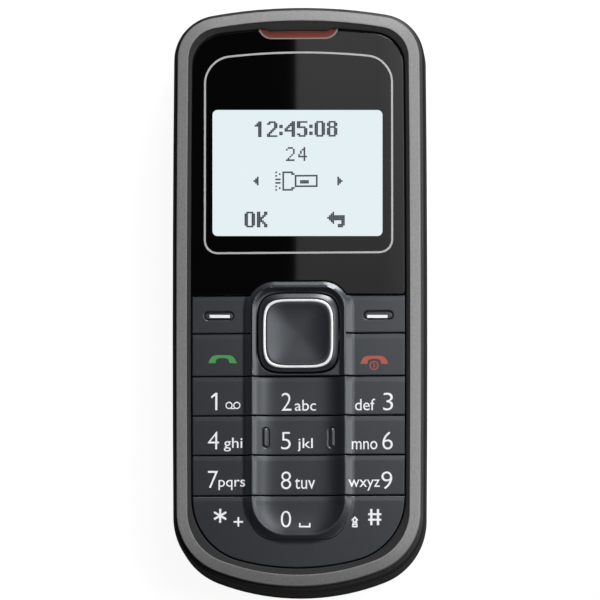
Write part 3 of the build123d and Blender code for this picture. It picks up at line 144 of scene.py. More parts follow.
def outline(half_w, top, bottom, top_r, bottom_r, top_corner, bottom_corner, inset=0.0):
    """Closed outline, counterclockwise from the middle of the bottom end. Half of it is four stretches:
    bottom arc, corner, side arc, corner and top arc; the other half is its mirror image."""
    half_w, top, bottom = half_w - inset, top - inset, bottom - inset
    top_r, bottom_r = top_r - inset, bottom_r - inset
    top_corner, bottom_corner = top_corner - inset, bottom_corner - inset
    edge_x = half_w - SIDE_BULGE
    reach = min(top, bottom)
    side_r = (reach**2 + SIDE_BULGE**2) / (2 * SIDE_BULGE)
    side_mid = np.array([half_w - side_r, 0.0])
    top_mid = np.array([0.0, top - top_r])
    bottom_mid = np.array([0.0, bottom_r - bottom])
    high = circle_meet(side_mid, side_r - top_corner, top_mid, top_r - top_corner, 1)
    low = circle_meet(side_mid, side_r - bottom_corner, bottom_mid, bottom_r - bottom_corner, -1)

    def touch(middle, corner, radius):
        """Where a fillet touches an arc: from the arc's middle towards the fillet's, by the arc's radius."""
        away = corner - middle
        return middle + away / np.hypot(*away) * radius

    low_end, low_side = touch(bottom_mid, low, bottom_r), touch(side_mid, low, side_r)
    high_side, high_end = touch(side_mid, high, side_r), touch(top_mid, high, top_r)
    right = np.concatenate([
        arc(bottom_mid, np.array([0.0, -bottom]), low_end, ARC_POINTS),
        arc(low, low_end, low_side, CORNER_POINTS),
        arc(side_mid, low_side, high_side, SIDE_POINTS),
        arc(high, high_side, high_end, CORNER_POINTS),
        arc(top_mid, high_end, np.array([0.0, top]), ARC_POINTS),
        np.array([[0.0, top]]),
    ])
    left = right[1:-1][::-1] * np.array([-1.0, 1.0])
    return np.concatenate([right, left])


ring_edge = outline(**RING)
opening_edge = outline(**OPENING)
print("ring outline", len(ring_edge), "points, half width", round(ring_edge[:, 0].max(), 2))


def edge_x(y, gap):
    """Half width of the opening at height y, less a gap: the right half of the outline read as x of y."""
    half = outline(**OPENING, inset=gap)[: len(opening_edge) // 2 + 1]
    return np.interp(y, half[:, 1], half[:, 0])


# %% [markdown]
# ## From arrays to meshes
# A mesh in Blender is a list of points and a list of faces. Two small builders cover nearly every piece
# here. The first joins rows of points that follow one another, like the rings of a vase. The second takes
# a grid for the upper face of a plate and closes it with walls and a flat underside.

# %% Mesh builders
pieces = []


def normals(points):
    """Outward unit normals of a closed counterclockwise outline: the chord between the two neighbours of
    each point, turned by a quarter."""
    along = np.roll(points, -1, 0) - np.roll(points, 1, 0)
    out = np.stack([along[:, 1], -along[:, 0]], 1)
    return out / np.hypot(*out.T)[:, None]


CORNER_ANGLE = 0.8  # radians between two faces that still shade as one surface


def add_mesh(name, points, faces, smooth=True):
    """A mesh object from points in millimetres and faces of three or more corners."""
    mesh = bpy.data.meshes.new(name)
    mesh.from_pydata((np.asarray(points, float) * MM).tolist(), [], [list(map(int, f)) for f in faces])
    mesh.polygons.foreach_set("use_smooth", np.full(len(mesh.polygons), smooth))
    mesh.validate()
    mesh.update()
    if smooth:
        mesh.set_sharp_from_angle(angle=CORNER_ANGLE)
    obj = bpy.data.objects.new(name, mesh)
    bpy.context.scene.collection.objects.link(obj)
    return obj


def rectangle(left, low, right, high):
    """The four corners of a rectangle, counterclockwise from the lower left one."""
    return np.array([[left, low], [right, low], [right, high], [left, high]], float)


def at_height(outline_xy, z):
    """Flat points lifted to one height, or each to its own."""
    return np.column_stack([outline_xy, np.broadcast_to(z, len(outline_xy))])


print("flat faces meet in a sharp edge past", round(np.degrees(CORNER_ANGLE)), "degrees")

# %% [markdown]
# Faces are found by counting. On a grid, a square joins a point with its neighbours in both directions, so
# tables of point numbers, shifted by one, give every face at once and no loop over the points is needed.

# %% Skins and plates
def strip_faces(rows, count, closed_rows=False):
    """Quads between neighbouring rows of a closed loop; with closed_rows the last row joins the first."""
    i, j = np.meshgrid(np.arange(rows if closed_rows else rows - 1), np.arange(count), indexing="ij")
    nxt = (j + 1) % count
    up = (i + 1) % rows
    return np.stack([i * count + j, i * count + nxt, up * count + nxt, up * count + j], -1).reshape(-1, 4)


def loft_loop(name, rows, closed_rows=True, cap=False):
    """Skin through closed rows of points. Closed rows make a ring, and caps close both ends of a tube."""
    count = len(rows[0])
    faces = strip_faces(len(rows), count, closed_rows).tolist()
    if cap:
        faces += [list(range(count))[::-1], list(range((len(rows) - 1) * count, len(rows) * count))]
    return add_mesh(name, np.concatenate(rows), faces)


def plate(name, top, base_z):
    """A closed plate from a grid of points (n, m, 3): the grid on top, its shadow at base_z below, and
    walls round the edge. The grid's first axis crossed with its second has to point up."""
    n, m = top.shape[:2]
    low = top.copy()
    low[..., 2] = base_z
    index = np.arange(n * m).reshape(n, m)
    a, b, c, d = index[:-1, :-1], index[1:, :-1], index[1:, 1:], index[:-1, 1:]
    upper = np.stack([a, b, c, d], -1).reshape(-1, 4)
    under = upper[:, ::-1] + n * m
    rim = np.concatenate([index[:, 0], index[-1, 1:], index[-2::-1, -1], index[0, -2:0:-1]])
    nxt = np.roll(rim, -1)
    walls = np.stack([rim + n * m, nxt + n * m, nxt, rim], -1)
    points = np.concatenate([top.reshape(-1, 3), low.reshape(-1, 3)])
    return add_mesh(name, points, np.concatenate([upper, under, walls]).tolist())


print("a skin of two closed rows of four points has", len(strip_faces(2, 4)), "faces")

# %% [markdown]
# Two small helpers remain. A truly flat face, such as the front of the pane, must not be shaded as if it
# were curved, and a rounded edge needs closer points than the middle of a face.

# %% Shading and spacing
def flatten(piece, count=None):
    """Flat shading for the last faces of a piece, or for all of them."""
    faces = len(piece.data.polygons)
    piece.data.polygons.foreach_set("use_smooth", np.arange(faces) < faces - (count or faces))
    return piece


def steps(low, high, fine=0.15):
    """Values from low to high: even steps of about fine, and closer ones near both ends for round edges."""
    edges = np.array([0.0, 0.04, 0.09, 0.15])
    count = max(int((high - low - 2 * edges[-1]) / fine), 2)
    middle = np.linspace(low + edges[-1], high - edges[-1], count + 1)
    return np.concatenate([low + edges[:-1], middle, high - edges[:-1][::-1]])


print("a key 6 mm long gets", len(steps(0, 6)), "rows of points")


# %% [markdown]
# ## Colours and finishes
# Colours are written as sRGB hex, the way a paint chart gives them, and turned to linear light once. Each
# finish is then a short chain of nodes: a base colour with a little variation at a real scale, a
# roughness, and a bump that stands for the texture of the mould or the paint.

# %% Material helpers
def srgb(code):
    """Linear colour from a hex code: each channel undone by the sRGB curve."""
    channel = np.array([int(code[i:i + 2], 16) for i in (1, 3, 5)]) / 255
    linear = np.where(channel <= 0.04045, channel / 12.92, ((channel + 0.055) / 1.055) ** 2.4)
    return (*linear.tolist(), 1.0)


def empty_tree(owner):
    """The node tree of a material or world, with nothing in it."""
    owner.use_nodes = True
    owner.node_tree.nodes.clear()
    return owner.node_tree


def add_node(tree, kind, inputs=None, **settings):
    """A node; inputs are values or other sockets by name or number, settings are its properties."""
    node = tree.nodes.new(kind)
    for name, value in settings.items():
        setattr(node, name, value)
    for name, value in (inputs or {}).items():
        if isinstance(value, bpy.types.NodeSocket):
            tree.links.new(value, node.inputs[name])
        else:
            node.inputs[name].default_value = value
    return node


def ramp(tree, value, low, high, to_low, to_high, **settings):
    """A node that maps a value from one range to another, held at both ends."""
    spans = {"Value": value, "From Min": low, "From Max": high, "To Min": to_low, "To Max": to_high}
    return add_node(tree, "ShaderNodeMapRange", spans, **settings).outputs[0]


print("half grey in hex is", round(srgb("#808080")[0], 3), "in linear light")

# %% [markdown]
# One function makes every finish. A single noise, sized in millimetres, darkens and lightens the colour,
# sways the roughness and lifts the bump, so that the three belong together as they do on a moulded face.

# %% One finish
def finish(name, color, roughness=0.5, metallic=0.0, grain_mm=0.3, grain=0.08, bump=0.0,
           rough_swing=0.05, **shader):
    """A surface whose colour and roughness waver with a noise of the given grain size, and whose bump
    stands a fraction of a millimetre high. Extra names are set on the shader as they are."""
    material = bpy.data.materials.new(name)
    tree = empty_tree(material)
    place = add_node(tree, "ShaderNodeTexCoord").outputs["Object"]
    texture = {"Vector": place, "Scale": 1 / (grain_mm * MM), "Detail": 3.0}
    noise = add_node(tree, "ShaderNodeTexNoise", texture)
    dark = tuple(c * (1 - grain) for c in srgb(color)[:3]) + (1.0,)
    pale = tuple(min(c * (1 + grain), 1.0) for c in srgb(color)[:3]) + (1.0,)
    tint = add_node(tree, "ShaderNodeMix", {0: noise.outputs[0], 6: dark, 7: pale}, data_type="RGBA")
    rough = ramp(tree, noise.outputs[0], 0.0, 1.0, roughness - rough_swing, roughness + rough_swing)
    values = {"Base Color": tint.outputs[2], "Roughness": rough, "Metallic": metallic}
    if bump:
        mould = {"Height": noise.outputs[0], "Strength": 1.0, "Distance": bump * MM}
        values["Normal"] = add_node(tree, "ShaderNodeBump", mould).outputs[0]
    values.update(shader)
    body = add_node(tree, "ShaderNodeBsdfPrincipled", values)
    add_node(tree, "ShaderNodeOutputMaterial", {"Surface": body.outputs[0]})
    return material


# %% [markdown]
# The finishes of the front come first. The ring is moulded plastic under a satin metallic paint with a
# fine sparkle, the keys are a bluish charcoal plastic with a soft sheen, and the window is a clear acrylic
# pane printed black from behind, which is why it mirrors the studio so sharply.

# %% Finishes
FINISHES = {
    # ABS under metallic paint: a satin sheen, and flakes drawn ten times too coarse, so that they show.
    "satin_graphite_paint": finish("painted_abs_satin_graphite", "#848484", 0.5, 0.25, 0.3, 0.32, 0.01),
    # Acrylic printed black from behind: a deep black that mirrors as sharply as glass.
    "black_gloss_pane": finish("acrylic_pane_printed_black", "#030303", 0.03, grain=0.05, rough_swing=0.0),
    # Key caps from a finely grained mould: bluish charcoal with a soft but strong sheen.
    "charcoal_key_plastic": finish(
        "moulded_charcoal_key_caps", "#1a1c21", 0.31, 0.0, 0.2, 0.14, 0.001,
        **{"Specular IOR Level": 1.0, "Specular Tint": srgb("#f0f7fd")}),
    # A plated and polished ring whose colour is painted nearly white: a painted reflection of something pale
    # all round its crown.
    "bright_inlay": finish("plated_inlay_painted_reflection", "#f4f4f6", 0.25, 0.2, 0.3, 0.03),
    # Polycarbonate from a spark-eroded mould, whose fine pits turn the gloss to matt.
    "black_plastic": finish("spark_eroded_black_polycarbonate", "#101012", 0.5, 0.0, 0.14, 0.12, 0.008),
    # Woven dust mesh, dark red and darkened further by painted shade for its place under the lip; threads a
    # tenth of a millimetre apart make it dull and uneven.
    "red_mesh": finish("red_dust_mesh_painted_shade", "#6b2517", 0.7, 0.0, 0.1, 0.3, 0.02),
    # Smoked polycarbonate, polished: dark, with clear reflections.
    "clear_plastic": finish("smoked_polycarbonate_lens", "#26262a", 0.15, 0.0, 0.5, 0.05),
    # Foam tape with an acrylic glue: black and dull.
    "adhesive_tape": finish("acrylic_foam_tape", "#161616", 0.8),
    # Open-cell foam: its pores are too rough for any sheen.
    "foam": finish("open_cell_foam", "#202022", 0.9, grain_mm=0.2, grain=0.3, bump=0.03),
    # Blackened steel sheet: dark, but it still glints like metal.
    "dark_metal": finish("blackened_steel_sheet", "#3a3a3c", 0.4, 0.9),
    # Moulded white ABS: pale and half matt, as it has to throw light back.
    "white_plastic": finish("moulded_white_abs", "#d9d9d4", 0.5),
    # Moulded silicone rubber: milky grey and never quite glossy.
    "silicone": finish("translucent_grey_silicone", "#8c8f92", 0.55, grain_mm=0.5),
    # Rolled stainless steel: a plain, smooth grey metal.
    "spring_steel": finish("stainless_spring_steel", "#a9abad", 0.3, 1.0),
    # Fibreglass under solder mask: green, with the bundles of fibres as faint patches.
    "green_laminate": finish("solder_masked_fibreglass", "#1d5a38", 0.4, grain_mm=0.8, grain=0.15),
    # Tinned steel cans: a pale metal with soft reflections.
    "tinned_sheet": finish("tinned_steel_can", "#b8b9ba", 0.35, 1.0, 0.6),
    # Glass under a polarising film: greenish grey and smooth.
    "display_glass": finish("display_glass", "#9aa79c", 0.08, rough_swing=0.02),
    # Printed film round the battery: dark grey with a weak sheen.
    "battery_wrap": finish("printed_battery_wrap", "#3c3f44", 0.45, grain_mm=0.6),
    # Black acoustic mesh, woven like the red one, with darker gaps.
    "dark_mesh": finish("black_acoustic_mesh", "#121214", 0.8, grain_mm=0.12, grain=0.4, bump=0.03),
    # A flash of gold on contacts: yellow and smooth.
    "gold_plate": finish("gold_flashed_contacts", "#d2a24a", 0.3, 1.0),
    # A nickel-plated can: a pale metal with sharper reflections than the tinned one.
    "motor_steel": finish("nickel_plated_motor_can", "#b2b3b5", 0.28, 1.0),
    # Sintered tungsten: a grey metal, dull because it isn't ground.
    "heavy_alloy": finish("sintered_tungsten", "#75757a", 0.5, 1.0),
}
for part in frame["record"]["subparts"]:
    mesh = frame["nodes"][part["node"]].data
    mesh.materials.clear()
    mesh.materials.append(FINISHES[part["material_slot"]])

# %% [markdown]
# Some finishes belong to printed marks and to details that are dressed with the slot of a solid piece but get
# a
# finish of their own: inks, the lit image and its dots, the painted highlight on the cut edge of the pane,
# and the bevel that stays unpainted.

# %% Inks and details
# Etched and printed marks are thin and dull, so only their colour counts.
PRINT_WHITE = finish("laser_etched_white", "#eef0f2", 0.5, grain=0.03)
PRINT_GREEN = finish("printed_green", "#3d8f47", 0.5, grain=0.03)
PRINT_RED = finish("printed_red", "#a9503f", 0.5, grain=0.03)
# Silver ink holds little metal: a plain grey with a weak glint.
LINE_SILVER = finish("printed_silver_line", "#b4b4b4", 0.3, 0.12, grain=0.05)
# A lit image gives its own light: a black base without gloss, and a strength of one.
SCREEN_LIT = finish("lit_display_image", "#000000", 0.5, rough_swing=0.0, **{
    "Specular IOR Level": 0.0, "Emission Color": srgb("#e4f0f4"), "Emission Strength": 1.0})
# Painted highlight: the cut edge of the pane, pale where it would catch the light, and pinkish because the
# red strip under it tints it.
PANE_EDGE_HIGHLIGHT = finish("painted_edge_highlight", "#857a77", 0.5, grain=0.05)
# Bare moulded plastic between the paint and the pane: dark, with hardly any gloss.
RING_BEVEL = finish(
    "moulded_graphite_bevel", "#2b2b2c", 0.7, 0.0, 0.3, 0.3, 0.01, **{"Specular IOR Level": 0.15})
# Liquid crystal that blocks the light from behind: nearly black, with a touch of blue.
SCREEN_INK = finish("display_pixels", "#2e3138", 0.3, grain=0.05)


def dress(obj, body, slot_name, material=None, replaces=()):
    """Gives a piece its finish, the slot's own unless another is given, and its body, and hides the solids
    that it stands for.
    """
    obj.data.materials.clear()
    obj.data.materials.append(material or FINISHES[slot_name])
    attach(obj, body)
    if replaces:
        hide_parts(*replaces)
    pieces.append(obj)


print("inks:", PRINT_WHITE.name, PRINT_GREEN.name, PRINT_RED.name, SCREEN_INK.name)


# %% [markdown]
# ## The satin ring
# The ring is one closed skin carried through matched outlines: up the outer foot, over a small round,
# along a nearly flat band to its crest and down again. The band leans outwards more at the two ends than
# at the sides, so its rise grows with how far the edge faces along the phone.

# %% Ring
def ease(t):
    """Smooth step, three squares less two cubes: nought below nought, one above one, level at both."""
    t = np.clip(t, 0, 1)
    return t * t * (3 - 2 * t)


SIDE_RISE = 0.2
END_RISE = 0.4
FOOT_INSET = 0.3
EDGE_PROFILE = ((0.0, 0.2), (0.02, 0.08), (0.08, 0.0), (0.16, -0.02))  # inset, drop below the shoulder
BAND_SHARES = (0.3, 0.5, 0.7, 0.85, 0.96)
CREST_SHARE = 0.05
BEVEL_START = 0.1
CREST_FALL = 0.01
foot_z = HOUSING_TOP
crest_edge = outline(**RING, inset=BAND_WIDTH)
facing = normals(ring_edge)[:, 1]
band_rise = SIDE_RISE + END_RISE * facing**2
shoulder_z = CREST - band_rise


def between(share):
    """The outline that lies between the crest and the opening, by share of the way."""
    return crest_edge + share * (opening_edge - crest_edge)


ring_rows = [at_height(outline(**RING, inset=FOOT_INSET), foot_z), at_height(ring_edge, foot_z)]
for inset, drop in EDGE_PROFILE:
    ring_rows.append(at_height(outline(**RING, inset=inset), shoulder_z - drop))
for share in BAND_SHARES:
    band = outline(**RING, inset=BAND_WIDTH * share)
    ring_rows.append(at_height(band, shoulder_z + band_rise * share))
ring_rows.append(at_height(between(CREST_SHARE), CREST))
ring_rows.append(at_height(between(BEVEL_START), CREST - CREST_FALL))
ring_rows.append(at_height(between(BEVEL_START), foot_z))
ring = loft_loop("front_ring", ring_rows)
dress(ring, "housing", "satin_graphite_paint", replaces=("front_cover",))
print("ring:", len(ring.data.polygons), "faces")

# %% [markdown]
# ## The dark inner bevel
# Inside the band the ring falls away in an unpainted bevel, which also carries the shelf under the window.
# Above the earpiece its lower edge reaches further in, like a lip over the red strip.

# %% Inner bevel
LIP_HALF = 4.9
LIP_EASE = 1.2
LIP_REACH = 0.5
LIP_CLEAR = 0.02
SHELF_REACH = 0.9
SHELF_START_Y = 0.2
SHELF_EASE = 0.8
SHELF_LOW = HOUSING_TOP
SHELF_HIGH = WINDOW_BASE - 0.1
GRILLE_TOP = box_mm("earpiece_grille")[1][2]
BEVEL_PROFILE = ((BEVEL_START, 0.04), (0.2, 0.08), (0.6, 0.19), (0.88, 0.27), (0.97, 0.32), (1.0, 0.42))


def over_earpiece(xy):
    """One over the earpiece, nought elsewhere, with a soft step at both ends of the lip."""
    return ease((LIP_HALF + LIP_EASE - np.abs(xy[:, 0])) / LIP_EASE) * (xy[:, 1] > 0)


def lip(share):
    """An outline between crest and opening, pulled down over the earpiece by more near the opening."""
    xy = between(share).copy()
    xy[:, 1] -= LIP_REACH * over_earpiece(xy) * (share - BEVEL_START) / (1 - BEVEL_START)
    return xy


shelf_reach = SHELF_REACH * ease((opening_edge[:, 1] - SHELF_START_Y) / SHELF_EASE)[:, None]
shelf_edge = opening_edge - normals(opening_edge) * shelf_reach
wall_foot = WINDOW_BASE + (GRILLE_TOP + LIP_CLEAR - WINDOW_BASE) * over_earpiece(opening_edge)
bevel_rows = [at_height(between(BEVEL_START), SHELF_LOW)]
bevel_rows += [at_height(lip(share), CREST - drop) for share, drop in BEVEL_PROFILE]
bevel_rows += [at_height(lip(1.0), wall_foot), at_height(opening_edge, wall_foot)]
bevel_rows += [at_height(opening_edge, SHELF_HIGH), at_height(shelf_edge, SHELF_HIGH)]
bevel_rows.append(at_height(shelf_edge, SHELF_LOW))
bevel = loft_loop("ring_inner_bevel", bevel_rows)
dress(bevel, "housing", "black_plastic", RING_BEVEL, replaces=("front_cover",))
print("bevel:", len(bevel.data.polygons), "faces")

# %% [markdown]
# ## The red strip
# The grille over the earpiece is a strip of red mesh in a notch of the window, half under the lip. Its
# lower edge follows the notch, with a circle that is a little larger, so that it tucks under the pane.

# %% The strip and the notch that it lies in
NOTCH_EDGE_Y = 46.7
NOTCH_HALF = 4.7
NOTCH_R = 2.2
STRIP_TUCK = 0.05
STRIP_HALF = 6.78
STRIP_POINTS = 80
STRIP_UPPER = [[6.6, 48.2], [5.2, 48.25], [4.9, 48.7], [-4.9, 48.7], [-5.2, 48.25], [-6.6, 48.2]]
STRIP_TOP = CREST - 0.66
STRIP_LOW = GRILLE_TOP - 0.4
strip_x = STRIP_HALF * np.sin(np.linspace(-np.pi / 2, np.pi / 2, STRIP_POINTS))
past_flat = np.clip(np.abs(strip_x) - (NOTCH_HALF - STRIP_TUCK), 0, NOTCH_R)
strip_y = NOTCH_EDGE_Y + NOTCH_R - np.sqrt((NOTCH_R + STRIP_TUCK) ** 2 - past_flat**2)
strip_edge = np.concatenate([np.stack([strip_x, strip_y], 1), STRIP_UPPER])
strip_rows = [at_height(strip_edge, STRIP_LOW), at_height(strip_edge, STRIP_TOP)]
strip = flatten(loft_loop("earpiece_strip", strip_rows, closed_rows=False, cap=True))
# The red finish carries painted shade for the lip that hangs over the strip.
dress(strip, "housing", "red_mesh", replaces=("earpiece_grille",))
print("red strip:", round(strip_x.max() * 2, 1), "mm long")

# %% [markdown]
# ## The torch lens
# The solid lens in the top end has a flat front. Its visible face follows the curve of the shell instead,
# and its edges are rounded like those of a small clear moulding.

# %% Torch lens
LENS_LOW, LENS_HIGH = box_mm("torch_lens")
LENS_SINK = 0.1
LENS_END = 0.7
LENS_END_DROP = 0.5
SHELL_TOP_R = 90.0
LENS_PROFILE = ((0.0, 0.3), (0.1, 0.1), (0.3, 0.0))  # height above the lower edge, inset of the front
front_x = np.linspace(LENS_HIGH[0], LENS_LOW[0], 60)
front_y = LENS_HIGH[1] - LENS_SINK - front_x**2 / (2 * SHELL_TOP_R)
front_y -= LENS_END_DROP * ease((np.abs(front_x) - LENS_HIGH[0] + LENS_END) / LENS_END)
lens_corners = np.array([[LENS_HIGH[0], LENS_LOW[1]], [LENS_LOW[0], LENS_LOW[1]]])
lens_edge = np.concatenate([lens_corners[:1], np.stack([front_x, front_y], 1), lens_corners[1:]])


def lens_row(z, inset):
    """One row of the lens, with its front moved back by the inset."""
    row = lens_edge.copy()
    row[:, 1] -= inset
    return at_height(row, z)


lens_rows = [lens_row(LENS_LOW[2] + rise, inset) for rise, inset in LENS_PROFILE]
lens_rows += [lens_row(LENS_HIGH[2] - rise, inset) for rise, inset in LENS_PROFILE[::-1]]
lens = loft_loop("torch_lens_cover", lens_rows, closed_rows=False, cap=True)
dress(lens, "housing", "clear_plastic", replaces=("torch_lens",))
print("torch lens:", round(LENS_HIGH[0] * 2, 1), "mm wide")

# %% [markdown]
# ## The relief of the keypad
# All keys share one landscape: a flat field, two rails that run beside the middle column and close in a U
# below the zero, and a dished channel between them. So it is written once, as the height over any point,
# from the distance to the crest line of the rails. Each key then only cuts its own patch out of it.

# %% Relief
CREST_HALF = 8.2
CREST_TOP_Y = 2.0
CREST_TOP_R = 4.0
CREST_END_Y = -42.2
CREST_END_R = 6.2
FLANK_WIDTH = 1.45
CHANNEL_DROP = 0.95
CHANNEL_POWER = 6.5
END_SINK = 0.5
END_SINK_Y = -35.0
END_SINK_LENGTH = 8.5


def crest_distance(x, y):
    """Signed distance to the crest line, a rounded box, and below nought inside it: the distance to the
    box made smaller by its corner radius, less that radius."""
    middle = (CREST_TOP_Y + CREST_END_Y) / 2
    radius = np.where(y > middle, CREST_TOP_R, CREST_END_R)
    out_x = np.abs(x) - (CREST_HALF - radius)
    out_y = np.abs(y - middle) - ((CREST_TOP_Y - CREST_END_Y) / 2 - radius)
    outside = np.hypot(np.maximum(out_x, 0), np.maximum(out_y, 0))
    return outside + np.minimum(np.maximum(out_x, out_y), 0) - radius


SMOOTHING = 45  # hundredths of a millimetre on either side that are averaged into each height
table_d = np.arange(-9, 4, 0.01)
inside = RAIL_CREST - CHANNEL_DROP * (1 - np.clip(1 + table_d / CREST_HALF, 0, 1) ** CHANNEL_POWER)
outside = RAIL_CREST - (RAIL_CREST - KEY_FACE) * np.clip(table_d / FLANK_WIDTH, 0, 1)
table_z = np.where(table_d < 0, inside, outside)
kernel = np.hanning(2 * SMOOTHING + 1)
table_z = np.convolve(np.pad(table_z, SMOOTHING, mode="edge"), kernel / kernel.sum(), mode="valid")


def relief(x, y):
    """Height of the keypad over a point, from its distance to the crest; the rails sink towards the U."""
    rail = np.interp(crest_distance(x, y), table_d, table_z)
    return KEY_FACE + (rail - KEY_FACE) * (1 - END_SINK * ease((END_SINK_Y - y) / END_SINK_LENGTH))


print("relief from", round(table_z.min(), 2), "to", round(table_z.max(), 2))

# %% [markdown]
# ## Keys
# A key is a patch of that landscape with three things added: a bevel along its upper edge, a small round
# on every edge, and for some keys a mark in the surface, such as the pressed-in capsules of the soft keys
# and the two raised bars beside the five, which fingers look for. A key with a mark gets a finer grid.

# %% Key surfaces
ROW_TOPS = {name: box_mm(name)[1][1] for name in frame["nodes"] if name.startswith("key_")}
ROW_BOTTOMS = {name: box_mm(name)[0][1] for name in ROW_TOPS}
BEVEL_LENGTH = 0.8
BEVEL_DROP = 0.1
EDGE_ROUND = 0.12
RIM_GAP = 0.25
SLIT = 0.03
CHIN_SLIT = 0.002
COLUMN = MIDDLE_KEY_HIGH[0] + 0.06
ZERO_CORNER = 4.0


def round_edge(distance):
    """Drop of a quarter-round edge at a distance from the edge: r minus the circle's height."""
    inside_round = np.clip(EDGE_ROUND - distance, 0, EDGE_ROUND)
    return EDGE_ROUND - np.sqrt(EDGE_ROUND**2 - inside_round**2)


def key_surface(x, y, to_edge, from_top, marks):
    """Heights of a key: the relief, less the bevel and the rounded edges, plus its own marks."""
    z = relief(x, y) - BEVEL_DROP * np.clip(1 - from_top / BEVEL_LENGTH, 0, 1)
    for mark in marks:
        z = z + mark(x, y)
    return z - round_edge(to_edge)


print("rows of keys start at", sorted({round(float(top), 2) for top in ROW_TOPS.values()}))

# %% [markdown]
# Marks in a key are written as heights to add. Both kinds start from the distance to a capsule, a line with
# a round end: inside it the surface sinks or rises with a soft step, and a narrow groove runs round it.

# %% Marks in the surface
MARK_DEPTH = 0.22
MARK_SLOPE = 0.2
SOFT_MARK = dict(middle_x=14.15, middle_y=-3.1, half_length=1.85, radius=0.85)
SOFT_GROOVE = dict(depth=0.16, middle=-0.14, width=0.1)
FIVE_BAR = dict(middle_x=-24.9, middle_y=5.85, half_length=1.2, radius=0.5)
BAR_GROOVE = dict(depth=0.13, middle=0.05, width=0.12)
BAR_HEIGHT = 0.12
BAR_SLOPE = 0.35


def capsule(x, y, middle_x, middle_y, half_length, radius):
    """Signed distance to a lying capsule: the distance to its middle line, less its radius."""
    along = np.clip(x - middle_x, -half_length, half_length)
    return np.hypot(x - middle_x - along, y - middle_y) - radius


def groove(distance, depth, middle, width):
    """A groove along a line of equal distance: a bell curve, turned upside down."""
    return -depth * np.exp(-((distance - middle) / width) ** 2)


def soft_recess(x, y):
    """A capsule pressed in by about a fifth of a millimetre, with a narrow groove along its foot."""
    distance = capsule(abs(x), y, **SOFT_MARK)
    return -MARK_DEPTH * ease(-distance / MARK_SLOPE) + groove(distance, **SOFT_GROOVE)


def five_bars(x, y):
    """Two raised upright bars beside the figure five, each in a narrow groove; x and y change places."""
    distance = capsule(y, abs(x), **FIVE_BAR)
    return BAR_HEIGHT * ease(-distance / BAR_SLOPE) + groove(distance, **BAR_GROOVE)


mark_depths = -soft_recess(np.linspace(0, OPENING["half_w"], 500), SOFT_MARK["middle_y"])
print("the mark of a soft key is", round(mark_depths.max(), 2), "mm deep")

# %% [markdown]
# Next the patches themselves. Rows and columns of points are spread evenly between the edges of the key,
# and the edges bend with the ring at the sides and with the U under the zero.

# %% Keys at the sides and in the middle
KEY_GRID = 0.15
MARK_GRID = 0.07


def side_patch(name, side, marks=()):
    """A key of the left or right column: straight towards the middle, and following the ring outside."""
    top, bottom = ROW_TOPS[name], ROW_BOTTOMS[name]
    spacing = MARK_GRID if marks else KEY_GRID
    y = steps(bottom, top, spacing)[None, :]
    inner = COLUMN + SLIT / 2
    outer = OPENING["half_w"] - RIM_GAP
    share = (steps(inner, outer, spacing) - inner) / (outer - inner)
    reach = edge_x(y, RIM_GAP)
    x = inner + share[:, None] * (reach - inner)
    y = np.broadcast_to(y, x.shape)
    to_edge = np.minimum(np.minimum(reach - x, top - y), y - bottom)
    z = key_surface(x, y, to_edge, top - y, marks)
    grid = np.stack([side * x, y, z], -1)
    return grid if side > 0 else grid[::-1]


def middle_patch(name, marks=()):
    """A key of the middle column; the zero ends in the round of the U."""
    top, bottom = ROW_TOPS[name], ROW_BOTTOMS[name]
    half = COLUMN - SLIT / 2
    spacing = MARK_GRID if marks else KEY_GRID
    x = steps(-half, half, spacing)[:, None]
    corner = ZERO_CORNER if name == "key_0" else 0.0
    into = np.clip(abs(x) - (half - corner), 0, corner)
    low = bottom + corner - np.sqrt(corner**2 - into**2)
    share = (steps(bottom, top, spacing) - bottom) / (top - bottom)
    y = low + share[None, :] * (top - low)
    x = np.broadcast_to(x, y.shape)
    to_edge = np.minimum(top - y, y - low)
    z = key_surface(x, y, to_edge, top - y, marks)
    return np.stack([x, y, z], -1)


print("points on the five key:", middle_patch("key_5", (five_bars,)).size // 3)

# %% [markdown]
# The star and the hash keys fill the chin of the phone. Each is spanned between two curves, the U round the
# zero and the ring, which are first given the same number of evenly spaced points.

# %% Keys of the chin
def along_curve(points, count):
    """The same curve by evenly spaced points: each coordinate read off at even steps of the length."""
    length = np.concatenate([[0], np.cumsum(np.hypot(*np.diff(points, axis=0).T))])
    even = np.linspace(0, length[-1], count)
    return np.stack([np.interp(even, length, points[:, i]) for i in (0, 1)], 1)


CHIN_POINTS = 120
CHIN_WIDTH = 8.0
CHIN_SEAM = 0.2  # beside the middle line, where the two halves of the chin meet without a round


